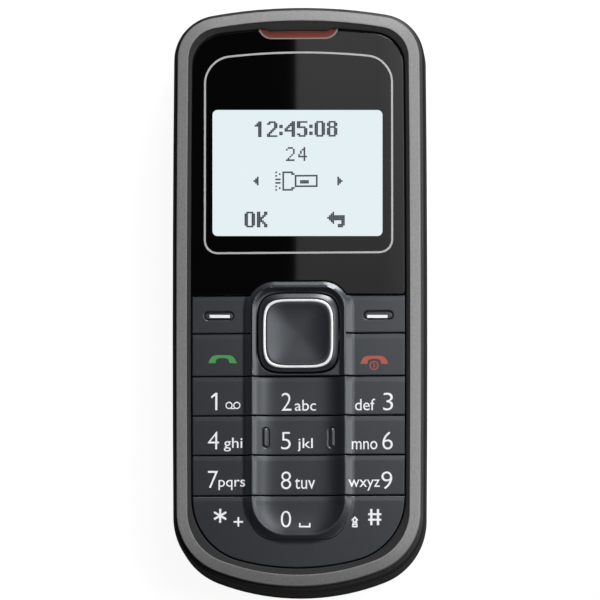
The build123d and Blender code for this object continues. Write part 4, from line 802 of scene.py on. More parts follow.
def chin_patch(name, side):
    """A key of the lowest row: between the U of the zero and the ring, to the middle of the chin."""
    top = ROW_TOPS[name]
    half = COLUMN + SLIT / 2
    end = ROW_BOTTOMS["key_0"] - SLIT
    turn = np.linspace(0, np.pi / 2, 30)
    corner = np.array([half - ZERO_CORNER, end + ZERO_CORNER])
    bend = corner + ZERO_CORNER * np.stack([np.cos(turn), -np.sin(turn)], 1)
    inner = np.concatenate([[[half, top]], bend, [[CHIN_SLIT, end]]])
    rim = outline(**OPENING, inset=RIM_GAP)[: ARC_POINTS + CORNER_POINTS + SIDE_POINTS][::-1]
    rim = rim[(rim[:, 1] < top) & (rim[:, 0] > CHIN_SLIT)]
    outer = np.concatenate([[[edge_x(top, RIM_GAP), top]], rim, [[CHIN_SLIT, rim[-1][1]]]])
    inner, outer = along_curve(inner, CHIN_POINTS), along_curve(outer, CHIN_POINTS)
    across = steps(0, CHIN_WIDTH)[:, None, None] / CHIN_WIDTH
    grid = inner[None] + across * (outer - inner)[None]
    x, y = grid[..., 0], grid[..., 1]
    width = np.hypot(*(outer - inner).T)[None, :]
    to_edge = np.minimum((1 - across[..., 0]) * width, top - y)
    to_edge = np.where(x > CHIN_SEAM, to_edge, EDGE_ROUND)
    z = key_surface(x, y, to_edge, top - y, ())
    surface = np.stack([side * x, y, z], -1)
    return surface[::-1] if side > 0 else surface


print("points on the star key:", chin_patch("key_star", -1).size // 3)

# %% [markdown]
# Now the keys are made row by row. Each cap rides on the body of its own key, and hides the plain solid
# key, so that a pressed key takes its cap along.

# %% All the keys
def add_key(name, grid):
    """The cap of one key, on the key's own body."""
    dress(plate(name + "_cap", grid, KEY_BASE), name, "charcoal_key_plastic", replaces=(name,))


KEY_ROWS = (("key_soft_left", None, "key_soft_right"), ("key_call", None, "key_end"))
KEY_ROWS += (("key_1", "key_2", "key_3"), ("key_4", "key_5", "key_6"), ("key_7", "key_8", "key_9"))
MARKS = {"key_soft_left": (soft_recess,), "key_soft_right": (soft_recess,), "key_5": (five_bars,)}
for left, middle, right in KEY_ROWS:
    for name, side in ((left, -1), (right, 1)):
        add_key(name, side_patch(name, side, MARKS.get(name, ())))
    if middle:
        add_key(middle, middle_patch(middle, MARKS.get(middle, ())))
add_key("key_0", middle_patch("key_0"))
for name, side in (("key_star", -1), ("key_hash", 1)):
    add_key(name, chin_patch(name, side))
print("keys:", sum(len(p.data.polygons) for p in pieces if p.name.startswith("key_")), "faces")

# %% [markdown]
# ## The rim round the navigation key
# The fixed rim is a star-shaped plate: rays run from the gap round the key to its outer edge, which is
# straight beside the keys and arches up into the window in an S-curve. Its height follows the rails, with
# a short slope down to the gap inside.

# %% Arch and superellipse
NAV_TRIM = 0.22
NAV_MIDDLE_Y = (NAV_LOW[1] + NAV_HIGH[1]) / 2 - NAV_TRIM
NAV_HALF_X = NAV_HIGH[0]
NAV_HALF_Y = (NAV_HIGH[1] - NAV_LOW[1]) / 2 - NAV_TRIM
NAV_POWER = 4.4
NAV_GAP = 0.2
ARCH_FLAT = 4.3
ARCH_R = 4.75
ARCH_FOOT_R = 0.25
ARCH_TOP = RIM_HIGH[1]
WINDOW_EDGE_Y = WINDOW_LOW[1]
INNER_SLOPE_WIDTH = 0.85
INNER_SLOPE_DROP = 0.45


def arch_height(x):
    """Edge of the arch over the navigation key: flat, then a circle down, then a small fillet."""
    past = np.clip(np.abs(x) - ARCH_FLAT, 0, ARCH_R)
    arch = ARCH_TOP - WINDOW_EDGE_Y - ARCH_R + np.sqrt(ARCH_R**2 - past**2)
    return WINDOW_EDGE_Y + (arch + np.sqrt(arch**2 + ARCH_FOOT_R**2)) / 2


def squircle(half_x, half_y, angles, middle_y):
    """Superellipse: the powers of x and y over their half widths add up to one."""
    c, s = np.cos(angles), np.sin(angles)
    x = half_x * np.sign(c) * np.abs(c) ** (2 / NAV_POWER)
    y = half_y * np.sign(s) * np.abs(s) ** (2 / NAV_POWER)
    return np.stack([x, y + middle_y], 1)


def rim_relief(x, y):
    """Height of the rim: the rails' outer flank outside the crest, a straight slope to the gap inside."""
    d = crest_distance(x, y)
    slope = RAIL_CREST - INNER_SLOPE_DROP * np.clip(-d / INNER_SLOPE_WIDTH, 0, 1)
    return np.where(d < 0, slope, relief(x, y))


print("arch over the key reaches", round(float(arch_height(0.0)), 2), "mm above the middle")

# %% [markdown]
# The rays: the outer edge is cut into even steps, and each of its points gets the point of the gap's edge
# that lies in the same direction, once both are seen as if the key were a circle.

# %% Rim
rim_half = COLUMN - SLIT / 2
rim_base_y = RIM_LOW[1]
arch_x = np.linspace(rim_half, -rim_half, 120)
rim_corners = np.array([[-rim_half, rim_base_y], [rim_half, rim_base_y]])
rim_edge = np.concatenate([rim_corners, np.stack([arch_x, arch_height(arch_x)], 1)])
rim_edge = along_curve(np.concatenate([rim_edge, rim_edge[:1]]), 400)[:-1]
ray = rim_edge - [0, NAV_MIDDLE_Y]
stretched = np.sign(ray) * (np.abs(ray) / [NAV_HALF_X, NAV_HALF_Y]) ** 2
around = np.arctan2(stretched[:, 1], stretched[:, 0])
gap_edge = squircle(NAV_HALF_X + NAV_GAP, NAV_HALF_Y + NAV_GAP, around, NAV_MIDDLE_Y)
RIM_SHARES = (0.0, 0.03, 0.08, 0.16, 0.26, 0.36, 0.46, 0.56, 0.66, 0.76, 0.86, 0.93, 0.97, 1.0)
width = np.hypot(*(rim_edge - gap_edge).T)
rim_rows = []
for share in RIM_SHARES:
    xy = gap_edge + share * (rim_edge - gap_edge)
    beside = np.abs(xy[:, 0]) < rim_half - EDGE_ROUND
    outer_gap = np.where(beside, (1 - share) * width, EDGE_ROUND)
    drop = round_edge(share * width) + round_edge(outer_gap)
    rim_rows.append(at_height(xy, rim_relief(xy[:, 0], xy[:, 1]) - drop))
rim_rows = [at_height(gap_edge, KEY_BASE)] + rim_rows + [at_height(rim_edge, KEY_BASE)]
rim = loft_loop("navigation_rim", rim_rows[::-1])
dress(rim, "housing", "charcoal_key_plastic", replaces=("navigation_surround",))
print("rim:", len(rim.data.polygons), "faces")

# %% [markdown]
# ## The navigation key
# The key is a rounded square with slightly bowed sides, best drawn as a superellipse. Its skin goes up
# the side, over a chamfer, down into the groove of the bright inlay and on into a shallow dish. The inlay
# is a ring of its own with a crowned top, because on the real key it is a separate plated part.

# %% Navigation key and its inlay
NAV_POINTS = np.linspace(0, 2 * np.pi, 160, endpoint=False) + np.pi / 160
INLAY_SHIFT = -0.2
SHIFT_REACH = 0.8  # how far in the full shift is reached
NAV_PROFILE = (
    (0.0, -2.5), (0.0, -0.62), (0.04, -0.52), (0.12, -0.44), (0.62, -0.1), (0.72, -0.05), (0.8, -0.04),
    (0.84, -0.3), (1.36, -0.3), (1.4, -0.06), (1.5, -0.05), (1.9, -0.13), (2.6, -0.25), (3.6, -0.37),
    (5.0, -0.47), (NAV_HALF_X - 0.4, -0.52),
)
INLAY_PROFILE = (
    (0.9, -0.3), (0.9, -0.05), (0.95, -0.01), (1.1, 0.0), (1.26, -0.01), (1.31, -0.05), (1.31, -0.3))


def nav_loop(inset, drop, shift=0.0):
    """One row of the navigation key, inset from its edge and below its top."""
    xy = squircle(NAV_HALF_X - inset, NAV_HALF_Y - inset, NAV_POINTS, NAV_MIDDLE_Y + shift)
    return at_height(xy, NAV_TOP + drop)


nav_rows = [nav_loop(i, d, INLAY_SHIFT * min(i / SHIFT_REACH, 1)) for i, d in NAV_PROFILE]
nav_key = loft_loop("navigation_key_cap", nav_rows, closed_rows=False, cap=True)
dress(nav_key, "navigation_key", "charcoal_key_plastic", replaces=("navigation_key",))
inlay = loft_loop("navigation_inlay", [nav_loop(i, d, INLAY_SHIFT) for i, d in INLAY_PROFILE])
# The inlay's near-white colour is a painted reflection.
dress(inlay, "navigation_key", "bright_inlay", replaces=("navigation_ring",))
print("navigation key:", len(nav_rows), "rows, inlay:", len(INLAY_PROFILE), "rows")

# %% [markdown]
# ## The window
# The pane is a plate whose outline follows the ring, steps round the arch and dips for the earpiece. A tiny
# round along its upper edge catches the light. Insetting the outline means moving each point along the
# normal of its edge, which is safe here because the inset is far smaller than any curve.

# %% Window
WINDOW_GAP = 0.3
ARCH_CLEAR = 0.1
LOWEST_RIM = 0.3  # above the lower edge of the pane, where the outline starts to follow the ring
NOTCH_CLEAR = 0.12  # between the top of the notch and the outline that follows the ring
CORNER_CUT = np.array([[-0.3, 0.0], [-0.09, 0.09]])  # the small round of the pane's lower corners
PANE_ROUND = ((0.0, 0.14), (0.03, 0.06), (0.08, 0.015), (0.14, 0.0))  # inset, depth under the top


def notch_height(x):
    """Lower edge of the earpiece notch, rising in a quarter circle at both ends."""
    past = np.clip(np.abs(x) - NOTCH_HALF, 0, NOTCH_R)
    beyond = np.maximum(np.abs(x) - NOTCH_HALF - NOTCH_R, 0)
    return NOTCH_EDGE_Y + NOTCH_R - np.sqrt(NOTCH_R**2 - past**2) + 2 * beyond


rim_right = outline(**OPENING, inset=WINDOW_GAP)[: len(opening_edge) // 2 + 1]
rim_right = rim_right[rim_right[:, 1] > WINDOW_EDGE_Y + LOWEST_RIM]
rim_right = rim_right[notch_height(rim_right[:, 0]) > rim_right[:, 1]]
notch_x = NOTCH_HALF + NOTCH_R * np.sin(np.linspace(0.47 * np.pi, 0, 24))
notch_x = np.concatenate([notch_x, np.linspace(NOTCH_HALF - 0.4, 0, 12)])
notch_x = notch_x[notch_height(notch_x) < rim_right[-1][1] - NOTCH_CLEAR]
arch_half_x = np.linspace(0, ARCH_FLAT + ARCH_R + 0.6, 70)
window_right = np.concatenate([
    np.stack([arch_half_x, arch_height(arch_half_x) + ARCH_CLEAR], 1),
    CORNER_CUT + [rim_right[0][0], WINDOW_EDGE_Y],
    rim_right,
    np.stack([notch_x, notch_height(notch_x)], 1),
])
window_edge = np.concatenate([window_right, window_right[1:-1][::-1] * [-1, 1]])
outward = normals(window_edge)
window_rows = [at_height(window_edge, WINDOW_BASE)]
window_rows += [at_height(window_edge - inset * outward, WINDOW_TOP - depth) for inset, depth in PANE_ROUND]
window = flatten(loft_loop("display_pane", window_rows, closed_rows=False, cap=True), 2)
dress(window, "housing", "black_gloss_pane", replaces=("display_window",))
print("window outline:", len(window_edge), "points")

# %% [markdown]
# ## Places in the picture
# Places of printed signs are noted in pixels of the 600 pixel picture, and one function turns them into
# millimetres on the front. It follows the camera's ray through a pixel down to the plane of the front, so
# the camera at the end of the script uses the same few numbers.

# %% The view
CAMERA_DISTANCE = 1500.0
VIEW_SLOPE_X = 0.047
VIEW_SLOPE_Y = 0.128
PIXELS_PER_MM = 5.64
PICTURE_PX = 600
AIM = Vector((0.27, -0.36, 0))
backward = Vector((VIEW_SLOPE_X, -VIEW_SLOPE_Y, 1)).normalized()
rightward = Vector((0, 1, 0)).cross(backward).normalized()
upward = backward.cross(rightward)


def px(points):
    """Picture pixels as millimetres on the front: where the camera's ray meets that plane."""
    across = (np.asarray(points, float) - PICTURE_PX / 2) / PIXELS_PER_MM * [1, -1]
    eye = np.array(AIM + backward * CAMERA_DISTANCE)
    ray = across[..., :1] * rightward + across[..., 1:] * upward - CAMERA_DISTANCE * np.array(backward)
    return (eye - ray * eye[2] / ray[..., 2:])[..., :2]


print("one pixel is", round(1 / PIXELS_PER_MM, 3), "mm on the front")

# %% [markdown]
# ## Strokes and printed marks
# Every printed line is the same idea: a path given by a few points, widened by half the line's width on
# both sides, and lifted into a thin closed plate that follows the surface under it. Corners are rounded
# before the path is widened.

# %% Strokes
PRINT_LIFT = 0.015
PRINT_SINK = 0.05


def rounded_path(points, radii, count=8):
    """Closed path through points with each corner rounded: a quarter ellipse between two touch points."""
    points = np.asarray(points, float)
    radii = np.broadcast_to(radii, len(points))
    before = np.roll(points, 1, 0) - points
    after = np.roll(points, -1, 0) - points
    start = points + before / np.hypot(*before.T)[:, None] * radii[:, None]
    end = points + after / np.hypot(*after.T)[:, None] * radii[:, None]
    angle = np.linspace(0, np.pi / 2, count)[None, :, None]
    curve = start[:, None] * (1 - np.sin(angle)) + end[:, None] * (1 - np.cos(angle))
    return (curve + points[:, None] * (np.sin(angle) + np.cos(angle) - 1)).reshape(-1, 2)


def sides(edge, lift=PRINT_LIFT):
    """The lower and the upper edge of something thin that is printed on the window."""
    return [at_height(edge, WINDOW_TOP - PRINT_SINK), at_height(edge, WINDOW_TOP + lift)]


def closed_line(name, path, width):
    """A printed line along a closed path on the window: the path moved half the width to both sides."""
    half = normals(path) * width / 2
    return loft_loop(name, sides(path + half) + sides(path - half)[::-1])


def patch(name, edge, lift=PRINT_LIFT):
    """A printed patch inside a closed outline on the window."""
    return flatten(loft_loop(name, sides(edge, lift), closed_rows=False, cap=True))


print("a square with rounded corners has", len(rounded_path(rectangle(0, 0, 1, 1), 0.2)), "points")


# %% [markdown]
# ## The display
# The silver line frames the display on the pane, with a bowed upper side. The lit image is a pale plate
# flush with the pane.

# %% Silver line and lit image
LINE_WIDTH = 0.34
LINE_LOW = 8.1
LINE_HIGH = 42.85
LINE_HALF = 16.65
LINE_LOW_R = 2.3
LINE_HIGH_R = 4.2
LINE_BOW = 1.2
SCREEN_R = 0.9
SCREEN_LIFT = 0.012
line_corners = rectangle(-LINE_HALF, LINE_LOW, LINE_HALF, LINE_HIGH)
frame_line = rounded_path(line_corners, [LINE_LOW_R, LINE_LOW_R, LINE_HIGH_R, LINE_HIGH_R], 14)
frame_line = along_curve(np.concatenate([frame_line, frame_line[:1]]), 500)[:-1]
upper_half = frame_line[:, 1] > (LINE_LOW + LINE_HIGH) / 2
frame_line[:, 1] += LINE_BOW * (1 - (frame_line[:, 0] / LINE_HALF) ** 2) * upper_half
dress(closed_line("display_line", frame_line, LINE_WIDTH), "housing", "bright_inlay", LINE_SILVER)
screen_corners = px(rectangle(212.5, 236, 382.5, 110))
screen = patch("display_image", rounded_path(screen_corners, SCREEN_R), SCREEN_LIFT)
dress(screen, "housing", "display_glass", SCREEN_LIT)
print("lit image:", np.round(screen_corners[2] - screen_corners[0], 1), "mm")

# %% [markdown]
# ## A painted highlight along the notch
# Clear plastic looks pale where its cut edge catches the light, so the notch over the red strip gets a
# painted highlight, a fine pale rim. It is a curved sliver under the edge, widest in the middle and drawn out
# at both ends.

# %% The sliver
SLIVER_WIDTH = 0.22
SLIVER_SPREAD = 0.2
turn = np.linspace(0.42 * np.pi, 0, 20)
notch_corner = np.array([NOTCH_HALF, NOTCH_EDGE_Y])
notch_side = notch_corner + NOTCH_R * np.stack([np.sin(turn), 1 - np.cos(turn)], 1)
notch_path = np.concatenate([notch_side, notch_side[::-1] * [-1, 1]])
notch_reach = np.abs(notch_path[:, 0])
sliver_low = notch_path - [0, SLIVER_WIDTH]
sliver_low[:, 0] *= 1 + SLIVER_SPREAD * (notch_reach - NOTCH_HALF) / NOTCH_R / notch_reach
sliver = patch("pane_notch_painted_highlight", np.concatenate([notch_path, sliver_low[::-1]]))
dress(sliver, "housing", "black_gloss_pane", PANE_EDGE_HIGHLIGHT)
print("notch edge:", len(notch_path) + len(sliver_low), "points")

# %% [markdown]
# ## The dots of the display
# The figures are drawn the way the real panel draws them: square dark dots from small bitmaps. Each dot is
# a small box, and all of them together are one mesh. What they say is generic: a time, a number, two
# arrows, a torch and a return arrow.

# %% Dots
DOT = 1.77 / PIXELS_PER_MM
DOT_FILL = 0.97
DOT_RISE = 0.02
BITMAPS = {
    "0": ".####. ##..## ##..## ##..## ##..## ##..## ##..## ##..## .####.",
    "1": "..##.. .###.. ####.. ..##.. ..##.. ..##.. ..##.. ..##.. ..##..",
    "2": ".####. ##..## ....## ....## ...##. ..##.. .##... ##.... ######",
    "4": "....## ...### ..#### .##.## ##..## ###### ....## ....## ....##",
    "5": "###### ##.... ##.... #####. ....## ....## ....## ##..## .####.",
    "8": ".####. ##..## ##..## .####. ##..## ##..## ##..## ##..## .####.",
    "K": "##..## ##..## ##.##. ####.. ###... ####.. ##.##. ##..## ##..##",
    ":": ".. .. ## ## .. .. ## ## ..",
    "thin 2": ".###. #...# ....# ....# ...#. ..#.. .#... #####",
    "thin 4": "...#. ..##. .#.#. .#.#. #..#. ##### ...#. ...#.",
    "left": "..# .## ### .## ..#",
    "right": "#.. ##. ### ##. #..",
    "return": "...#...... ..##...... .######### ########## .######### "
              "..##....## ...#....## ......#### ......###.",
    "lamp": "#...######.............. ..#.#....##............. #...#......############# "
            "....#......#...........# ###.#......#...........# ....#......#..#####....# "
            "###.#......#..#####....# ....#......#...........# #...#......############# "
            "..#.#....##............. #...######..............",
}
BOX_CORNERS = np.array([[x, y, z] for z in (0, 1) for y in (0, 1) for x in (0, 1)], float)
BOX_FACES = np.array([[0, 2, 3, 1], [4, 5, 7, 6], [0, 1, 5, 4], [1, 3, 7, 5], [3, 2, 6, 7], [2, 0, 4, 6]])


def dots(names, middle_px, gap=1):
    """Lower left corners of the lit dots of a line of bitmaps, centred on a place."""
    grids = [np.array([list(row) for row in BITMAPS[name].split()]) == "#" for name in names]
    spacer = np.zeros((len(grids[0]), gap), bool)
    line = np.concatenate([part for grid in grids for part in (grid, spacer)][:-1], axis=1)
    row, column = np.nonzero(line)
    middle = px(middle_px)
    x = middle[0] + (column - line.shape[1] / 2) * DOT
    y = middle[1] + (line.shape[0] / 2 - row - 1) * DOT
    return np.stack([x, y, np.full(len(x), WINDOW_TOP - PRINT_SINK)], 1)


lit_dots = np.concatenate([
    dots("12:45:08", (296, 129)),
    dots(("thin 2", "thin 4"), (296.5, 154), gap=2),
    dots(("left",), (256, 181)),
    dots(("lamp",), (296.5, 181)),
    dots(("right",), (340, 181)),
    dots("0K", (256, 219.5)),
    dots(("return",), (336, 219.5)),
])
dot_size = [DOT * DOT_FILL, DOT * DOT_FILL, PRINT_SINK + DOT_RISE]
dot_points = (lit_dots[:, None] + BOX_CORNERS[None] * dot_size).reshape(-1, 3)
dot_faces = (np.arange(len(lit_dots))[:, None, None] * 8 + BOX_FACES[None]).reshape(-1, 4)
ink = add_mesh("display_figures", dot_points, dot_faces.tolist(), smooth=False)
dress(ink, "housing", "display_glass", SCREEN_INK)
print("display:", len(lit_dots), "dark dots")

# %% [markdown]
# ## Figures, letters and symbols on the keys
# On the real keys these are etched or printed, a few hundredths of a millimetre thick. Letters come from
# Blender's own typeface and symbols from short outlines. Both are filled flat curves with a thickness,
# made into meshes first and then draped over the key: each point takes the height of the surface there.

# %% Shapes for printing
def flat_solid(data):
    """A filled flat curve with a thickness as points, whose z is plus or minus one, and faces."""
    data.fill_mode = "BOTH"
    data.extrude = 1.0
    data.resolution_u = 5
    holder = bpy.data.objects.new("shape", data)
    mesh = bpy.data.meshes.new_from_object(holder)
    work = bmesh.new()
    work.from_mesh(mesh)
    bmesh.ops.remove_doubles(work, verts=work.verts, dist=1e-5)
    bmesh.ops.recalc_face_normals(work, faces=work.faces)
    work.verts.index_update()
    points = np.array([vert.co for vert in work.verts])
    faces = [[vert.index for vert in face.verts] for face in work.faces]
    work.free()
    bpy.data.objects.remove(holder)
    bpy.data.meshes.remove(mesh)
    bpy.data.curves.remove(data)
    return points, faces


LETTER_WEIGHT = 0.002
FIGURE_WEIGHT = -0.01


def word(letters, left, top, right, bottom):
    """A word stretched to fill a box in pixels; letters get bolder strokes and figures lighter ones."""
    data = bpy.data.curves.new("word", "FONT")
    data.body = letters
    data.offset = FIGURE_WEIGHT if letters.isdigit() else LETTER_WEIGHT
    points, faces = flat_solid(data)
    low, high = points[:, :2].min(0), points[:, :2].max(0)
    corner = px([left, bottom])
    points[:, :2] = corner + (points[:, :2] - low) / (high - low) * (px([right, top]) - corner)
    return points, faces


def shape(*loops):
    """A filled shape from closed outlines in pixels; an outline inside another is a hole."""
    data = bpy.data.curves.new("loops", "CURVE")
    data.dimensions = "2D"
    for loop in loops:
        spline = data.splines.new("POLY")
        flat = np.zeros((len(loop), 4))
        flat[:, :2] = px(loop)
        spline.points.add(len(loop) - 1)
        spline.points.foreach_set("co", flat.ravel())
        spline.use_cyclic_u = True
    return flat_solid(data)


def printed(name, parts, surface=relief, lift=PRINT_LIFT):
    """Shapes draped over a surface as one mesh: its height, plus the lift above or less the sink below."""
    counts = np.cumsum([0] + [len(points) for points, faces in parts])
    points = np.concatenate([points for points, faces in parts])
    faces = [[i + start for i in face] for start, part in zip(counts, parts) for face in part[1]]
    height = surface(points[:, 0], points[:, 1])
    points[:, 2] = height + np.where(points[:, 2] > 0, lift, -PRINT_SINK)
    return add_mesh(name, points, faces, smooth=False)


print("the figure five has", len(word("5", 0, 20, 10, 0)[0]), "points")

# %% [markdown]
# Signs that no typeface has are built from outlines in pixels: circles and bars for the small symbols, arms
# round a middle for the plus and the asterisk, and a bent arch for the handset.

# %% Signs from outlines
def circle_px(x, y, radius, count=28):
    """A circle in pixels: the radius times the cosine across and times the sine down."""
    angle = np.linspace(0, 2 * np.pi, count, endpoint=False)
    return np.stack([x + radius * np.cos(angle), y + radius * np.sin(angle)], 1)


def bar_px(left, top, right, bottom):
    """An upright rectangle in pixels, whose y grows downwards."""
    return rectangle(left, bottom, right, top)


def star_px(x, y, radius, width, arms):
    """A star of straight arms, such as a plus or an asterisk: two corners per arm and one between arms."""
    angle = -np.pi / 2 + np.arange(arms) * 2 * np.pi / arms
    half_step = np.pi / arms
    spread = np.arctan2(width / 2, radius)
    reach = np.hypot(radius, width / 2)
    turn = np.stack([angle - spread, angle + spread, angle + half_step], 1).ravel()
    size = np.tile([reach, reach, width / 2 / np.sin(half_step)], arms)
    return np.stack([x + size * np.cos(turn), y + size * np.sin(turn)], 1)


def hash_px(x, y):
    """The hash sign from six places across and six down where its bars begin and end: edge and hole."""
    steps_x = [1, 2, 2, 3, 3, 4, 4, 5, 5, 4, 4, 5, 5, 4, 4, 3, 3, 2, 2, 1, 1, 0, 0, 1, 1, 0, 0, 1]
    steps_y = [0, 0, 1, 1, 0, 0, 1, 1, 2, 2, 3, 3, 4, 4, 5, 5, 4, 4, 5, 5, 4, 4, 3, 3, 2, 2, 1, 1]
    edge = np.stack([np.take(x, steps_x), np.take(y, steps_y)], 1)
    return edge, bar_px(x[2], y[2], x[3], y[3])


def handset_px(left, top, right, bottom):
    """A lying handset: an arch that falls with the fifth power of the way out, with two thicker ends."""
    t = np.linspace(-1, 1, 33)
    middle, half = (left + right) / 2, (right - left) / 2
    upper = top + (bottom - top - 0.8) * np.abs(t) ** 5
    lower = np.where(np.abs(t) < 0.5, top + 3.0 + 1.6 * (t / 0.5) ** 2, bottom)
    x = middle + half * t
    return np.concatenate([np.stack([x, upper], 1), np.stack([x, lower], 1)[::-1]])


print("a plus sign has", len(star_px(0, 0, 5, 2, 4)), "corners")


# %% [markdown]
# ## What each key says
# Each entry lists the signs of one key with their boxes in pixels: left, top, right and bottom. Their
# arrangement and the letters are the ones that every keypad of this kind has.

# %% Legends
FIGURE_ONE = [
    [215.3, 392.7], [217.3, 392.7], [217.3, 410], [215.2, 410], [215.2, 395.6], [211.5, 398.1],
    [210.7, 396.7]]
SPACE_BAR = [
    [299, 522.9], [300.5, 522.9], [300.5, 525.8], [308.9, 525.8], [308.9, 522.9], [310.4, 522.9],
    [310.4, 527.3], [299, 527.3]]
SHIFT_EDGE = [
    [354.8, 516], [358.6, 520.2], [357.1, 520.4], [357.1, 522.8], [352.5, 522.8], [352.5, 520.4],
    [351, 520.2]]
SHIFT_HOLE = [[354.8, 518.2], [355.9, 519.8], [354.8, 521.5], [353.7, 519.8]]
HASH_X = (368.1, 370.1, 372.4, 376.8, 379.1, 381.3)
HASH_Y = (508.9, 513.1, 515.1, 518.6, 520.6, 525.0)


def hoop(x, y, outer, inner):
    """A thin ring between two circles, in pixels."""
    return shape(circle_px(x, y, outer), circle_px(x, y, inner))


LEGENDS = {
    "key_1": (shape(FIGURE_ONE), hoop(229, 405.3, 3.6, 2.5), hoop(236.8, 405.3, 3.6, 2.5),
              shape(bar_px(231, 407.9, 234.8, 408.9))),
    "key_2": (word("2", 281.4, 392.6, 291.4, 410.6), word("abc", 294.7, 399.5, 316, 410.6)),
    "key_3": (word("def", 355, 398.6, 375, 410.3), word("3", 383.1, 392.6, 393, 410.2)),
    "key_4": (word("4", 207.8, 431.4, 219, 449.2), word("ghi", 223.7, 437.5, 242.3, 451.3)),
    "key_5": (word("5", 281, 431.8, 290.6, 449.2), word("jkl", 297.4, 437.9, 312.7, 451.2)),
    "key_6": (word("mno", 351.8, 440.8, 377.3, 449.4), word("6", 382.4, 431.5, 392.7, 449.4)),
    "key_7": (word("7", 207.8, 470.8, 218, 488), word("pqrs", 218.4, 479.6, 245, 490)),
    "key_8": (word("8", 280.9, 471.3, 291, 489), word("tuv", 294.7, 478, 315, 488.8)),
    "key_9": (word("wxyz", 348.5, 479.4, 379.8, 490.6), word("9", 381.4, 471.3, 392.2, 489)),
    "key_star": (shape(star_px(220.1, 515.6, 7.0, 2.1, 6)), shape(star_px(238.3, 521.8, 4.8, 1.7, 4))),
    "key_0": (word("0", 280.8, 510.6, 291, 527.3), shape(SPACE_BAR)),
    "key_hash": (shape(*hash_px(HASH_X, HASH_Y)),
                 shape(bar_px(352.1, 523.2, 357.5, 527.2), bar_px(353.9, 524.6, 355.8, 525.9)),
                 shape(SHIFT_EDGE, SHIFT_HOLE)),
    "key_call": (shape(handset_px(208.4, 355, 236.5, 363)),),
    "key_end": (shape(handset_px(360.4, 355.6, 388, 363.7)), hoop(374, 365.3, 4.5, 3.5),
                shape(bar_px(373.5, 363.2, 374.5, 367.4))),
}
INKS = {"key_call": PRINT_GREEN, "key_end": PRINT_RED}
for name, parts in LEGENDS.items():
    dress(printed(name + "_legend", parts), name, "charcoal_key_plastic", INKS.get(name, PRINT_WHITE))


print("legends on", len(LEGENDS), "keys")

# %% [markdown]
# The soft keys carry a white dash on the floor of their pressed-in capsule, a little thicker than print, so
# that it fills the capsule as on the real key.

# %% Dashes of the soft keys
def recess_floor(x, y):
    """The floor of the pressed-in capsules."""
    return relief(x, y) - MARK_DEPTH


DASHES_LEFT = {"key_soft_left": 209.5, "key_soft_right": 367.2}
DASH_TOP, DASH_BOTTOM = 314.7, 317.7
DASH_LENGTH = 20.3
DASH_LIFT = 0.12
for name, left in DASHES_LEFT.items():
    dash = shape(bar_px(left, DASH_TOP, left + DASH_LENGTH, DASH_BOTTOM))
    bar = printed(name + "_dash", [dash], recess_floor, DASH_LIFT)
    dress(bar, name, "charcoal_key_plastic", PRINT_WHITE)
print("dashes on", len(DASHES_LEFT), "keys")

# %% [markdown]
# ## Camera
# The phone lies on its back. The picture is taken from above, from a little below and to the right of the
# phone's middle, with a long lens, so edges hardly converge. The camera therefore looks back along that
# slope at the middle of the front, without any shift of the lens.

# %% Camera
camera_data = bpy.data.cameras.new("camera")
camera = bpy.data.objects.new("camera", camera_data)
bpy.context.scene.collection.objects.link(camera)
bpy.context.scene.camera = camera
turned = Matrix((rightward, upward, backward)).transposed().to_4x4()
place = AIM + Vector((0, 0, WINDOW_TOP)) + backward * CAMERA_DISTANCE
camera.matrix_world = Matrix.Translation(place * MM) @ turned
camera_data.sensor_width = 36.0
camera_data.lens = PIXELS_PER_MM * CAMERA_DISTANCE * camera_data.sensor_width / PICTURE_PX
camera_data.clip_end = 20.0
print("lens:", round(camera_data.lens), "mm")

# %% [markdown]
# ## Floor
# White paper under the phone. It glows for the camera alone, so that the picture's ground is white while
# the paper itself stays grey and throws little light back at the phone.

# %% Paper
WHITE = srgb("#ffffff")
ROOM = 4000.0
FLOOR_GLOW = 0.93


def multiply(tree, a, b):
    """The product of two values in a node tree."""
    return add_node(tree, "ShaderNodeMath", {0: a, 1: b}, operation="MULTIPLY").outputs[0]


floor = add_mesh("floor", at_height(rectangle(-ROOM, -ROOM, ROOM, ROOM), 0), [[0, 1, 2, 3]])
paper = bpy.data.materials.new("white_paper_sweep")
tree = empty_tree(paper)
seen = add_node(tree, "ShaderNodeLightPath").outputs["Is Camera Ray"]
paper_skin = add_node(tree, "ShaderNodeBsdfDiffuse", {"Color": srgb("#6c6c6c")})
glow = add_node(tree, "ShaderNodeEmission", {"Color": WHITE, "Strength": multiply(tree, seen, FLOOR_GLOW)})
both = add_node(tree, "ShaderNodeAddShader", {0: paper_skin.outputs[0], 1: glow.outputs[0]})
add_node(tree, "ShaderNodeOutputMaterial", {"Surface": both.outputs[0]})
floor.data.materials.append(paper)
print("floor:", ROOM * 2 * MM, "m wide")

# %% [markdown]
# ## Surroundings
# The room is pale near the horizon and nearly black overhead, so that upright faces get some light and the
# window stays black. A glowing card hangs over the right half of the phone. Its straight left edge is what
# the window mirrors, and it grows brighter towards the right, where the keys slope away.

# %% Room and card
ROOM_LIGHT = (0.2, 0.6, 0.35, 0.02)  # from and to which height of the direction, first and last light
world = bpy.data.worlds.new("studio")
bpy.context.scene.world = world
tree = empty_tree(world)
direction = add_node(tree, "ShaderNodeTexCoord").outputs["Generated"]
height = add_node(tree, "ShaderNodeSeparateXYZ", {0: direction}).outputs["Z"]
level = ramp(tree, height, *ROOM_LIGHT, interpolation_type="SMOOTHSTEP")
sky = add_node(tree, "ShaderNodeBackground", {"Color": WHITE, "Strength": level})
add_node(tree, "ShaderNodeOutputWorld", {"Surface": sky.outputs[0]})

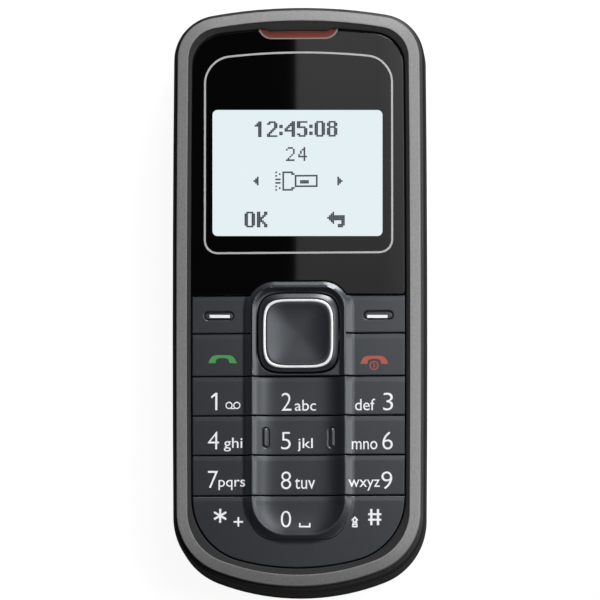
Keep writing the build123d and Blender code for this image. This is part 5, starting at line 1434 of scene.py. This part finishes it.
CARD_HEIGHT = 300.0
CARD_LEFT, CARD_RIGHT = -14.0, 330.0
CARD_HALF_Y = 130.0
CARD_FADE = (-0.04, 0.13, 0.1, 1.35)  # along the phone, in metres, and the strength at both ends
CARD_RISE = (0.004, 0.08, 1.0, 5.9)  # across the phone
CARD_FALL = (0.06, 0.11, 1.0, 0.3)
card_corners = rectangle(CARD_LEFT, -CARD_HALF_Y, CARD_RIGHT, CARD_HALF_Y)
card = add_mesh("reflection_card", at_height(card_corners, CARD_HEIGHT), [[3, 2, 1, 0]])
card.visible_camera = card.visible_shadow = False
card_skin = bpy.data.materials.new("pale_reflection_card")
tree = empty_tree(card_skin)
place = add_node(tree, "ShaderNodeTexCoord").outputs["Object"]
card_x, card_y = add_node(tree, "ShaderNodeSeparateXYZ", {0: place}).outputs[:2]
fade = ramp(tree, card_y, *CARD_FADE)
across = multiply(tree, ramp(tree, card_x, *CARD_RISE), ramp(tree, card_x, *CARD_FALL))
strength = multiply(tree, fade, across)
lit = add_node(tree, "ShaderNodeEmission", {"Color": WHITE, "Strength": strength})
add_node(tree, "ShaderNodeOutputMaterial", {"Surface": lit.outputs[0]})
card.data.materials.append(card_skin)
print("card:", CARD_RIGHT - CARD_LEFT, "x", 2 * CARD_HALF_Y, "mm")

# %% [markdown]
# ## Lamps
# Two round soft lamps light the scene: one beyond the top end gives the ring and the arch their bright upper
# sides, and one at the right brightens the right side of the ring and the outer flank of each rail.

# %% Lamps
LAMP_SIZE = 0.7


def lamp(name, place, energy):
    """A round soft lamp that looks at the phone."""
    data = bpy.data.lights.new(name, "AREA")
    data.shape, data.energy, data.size = "DISK", energy, LAMP_SIZE
    obj = bpy.data.objects.new(name, data)
    bpy.context.scene.collection.objects.link(obj)
    obj.location = place
    obj.rotation_euler = Vector(place).to_track_quat("Z", "Y").to_euler()
    print(name, energy, "W")


lamp("upper_softbox", (0.4, 1.15, 0.55), 16.9)
lamp("right_softbox", (0.8, 0.15, 0.95), 8.2)
bpy.context.scene.view_settings.view_transform = "Standard"
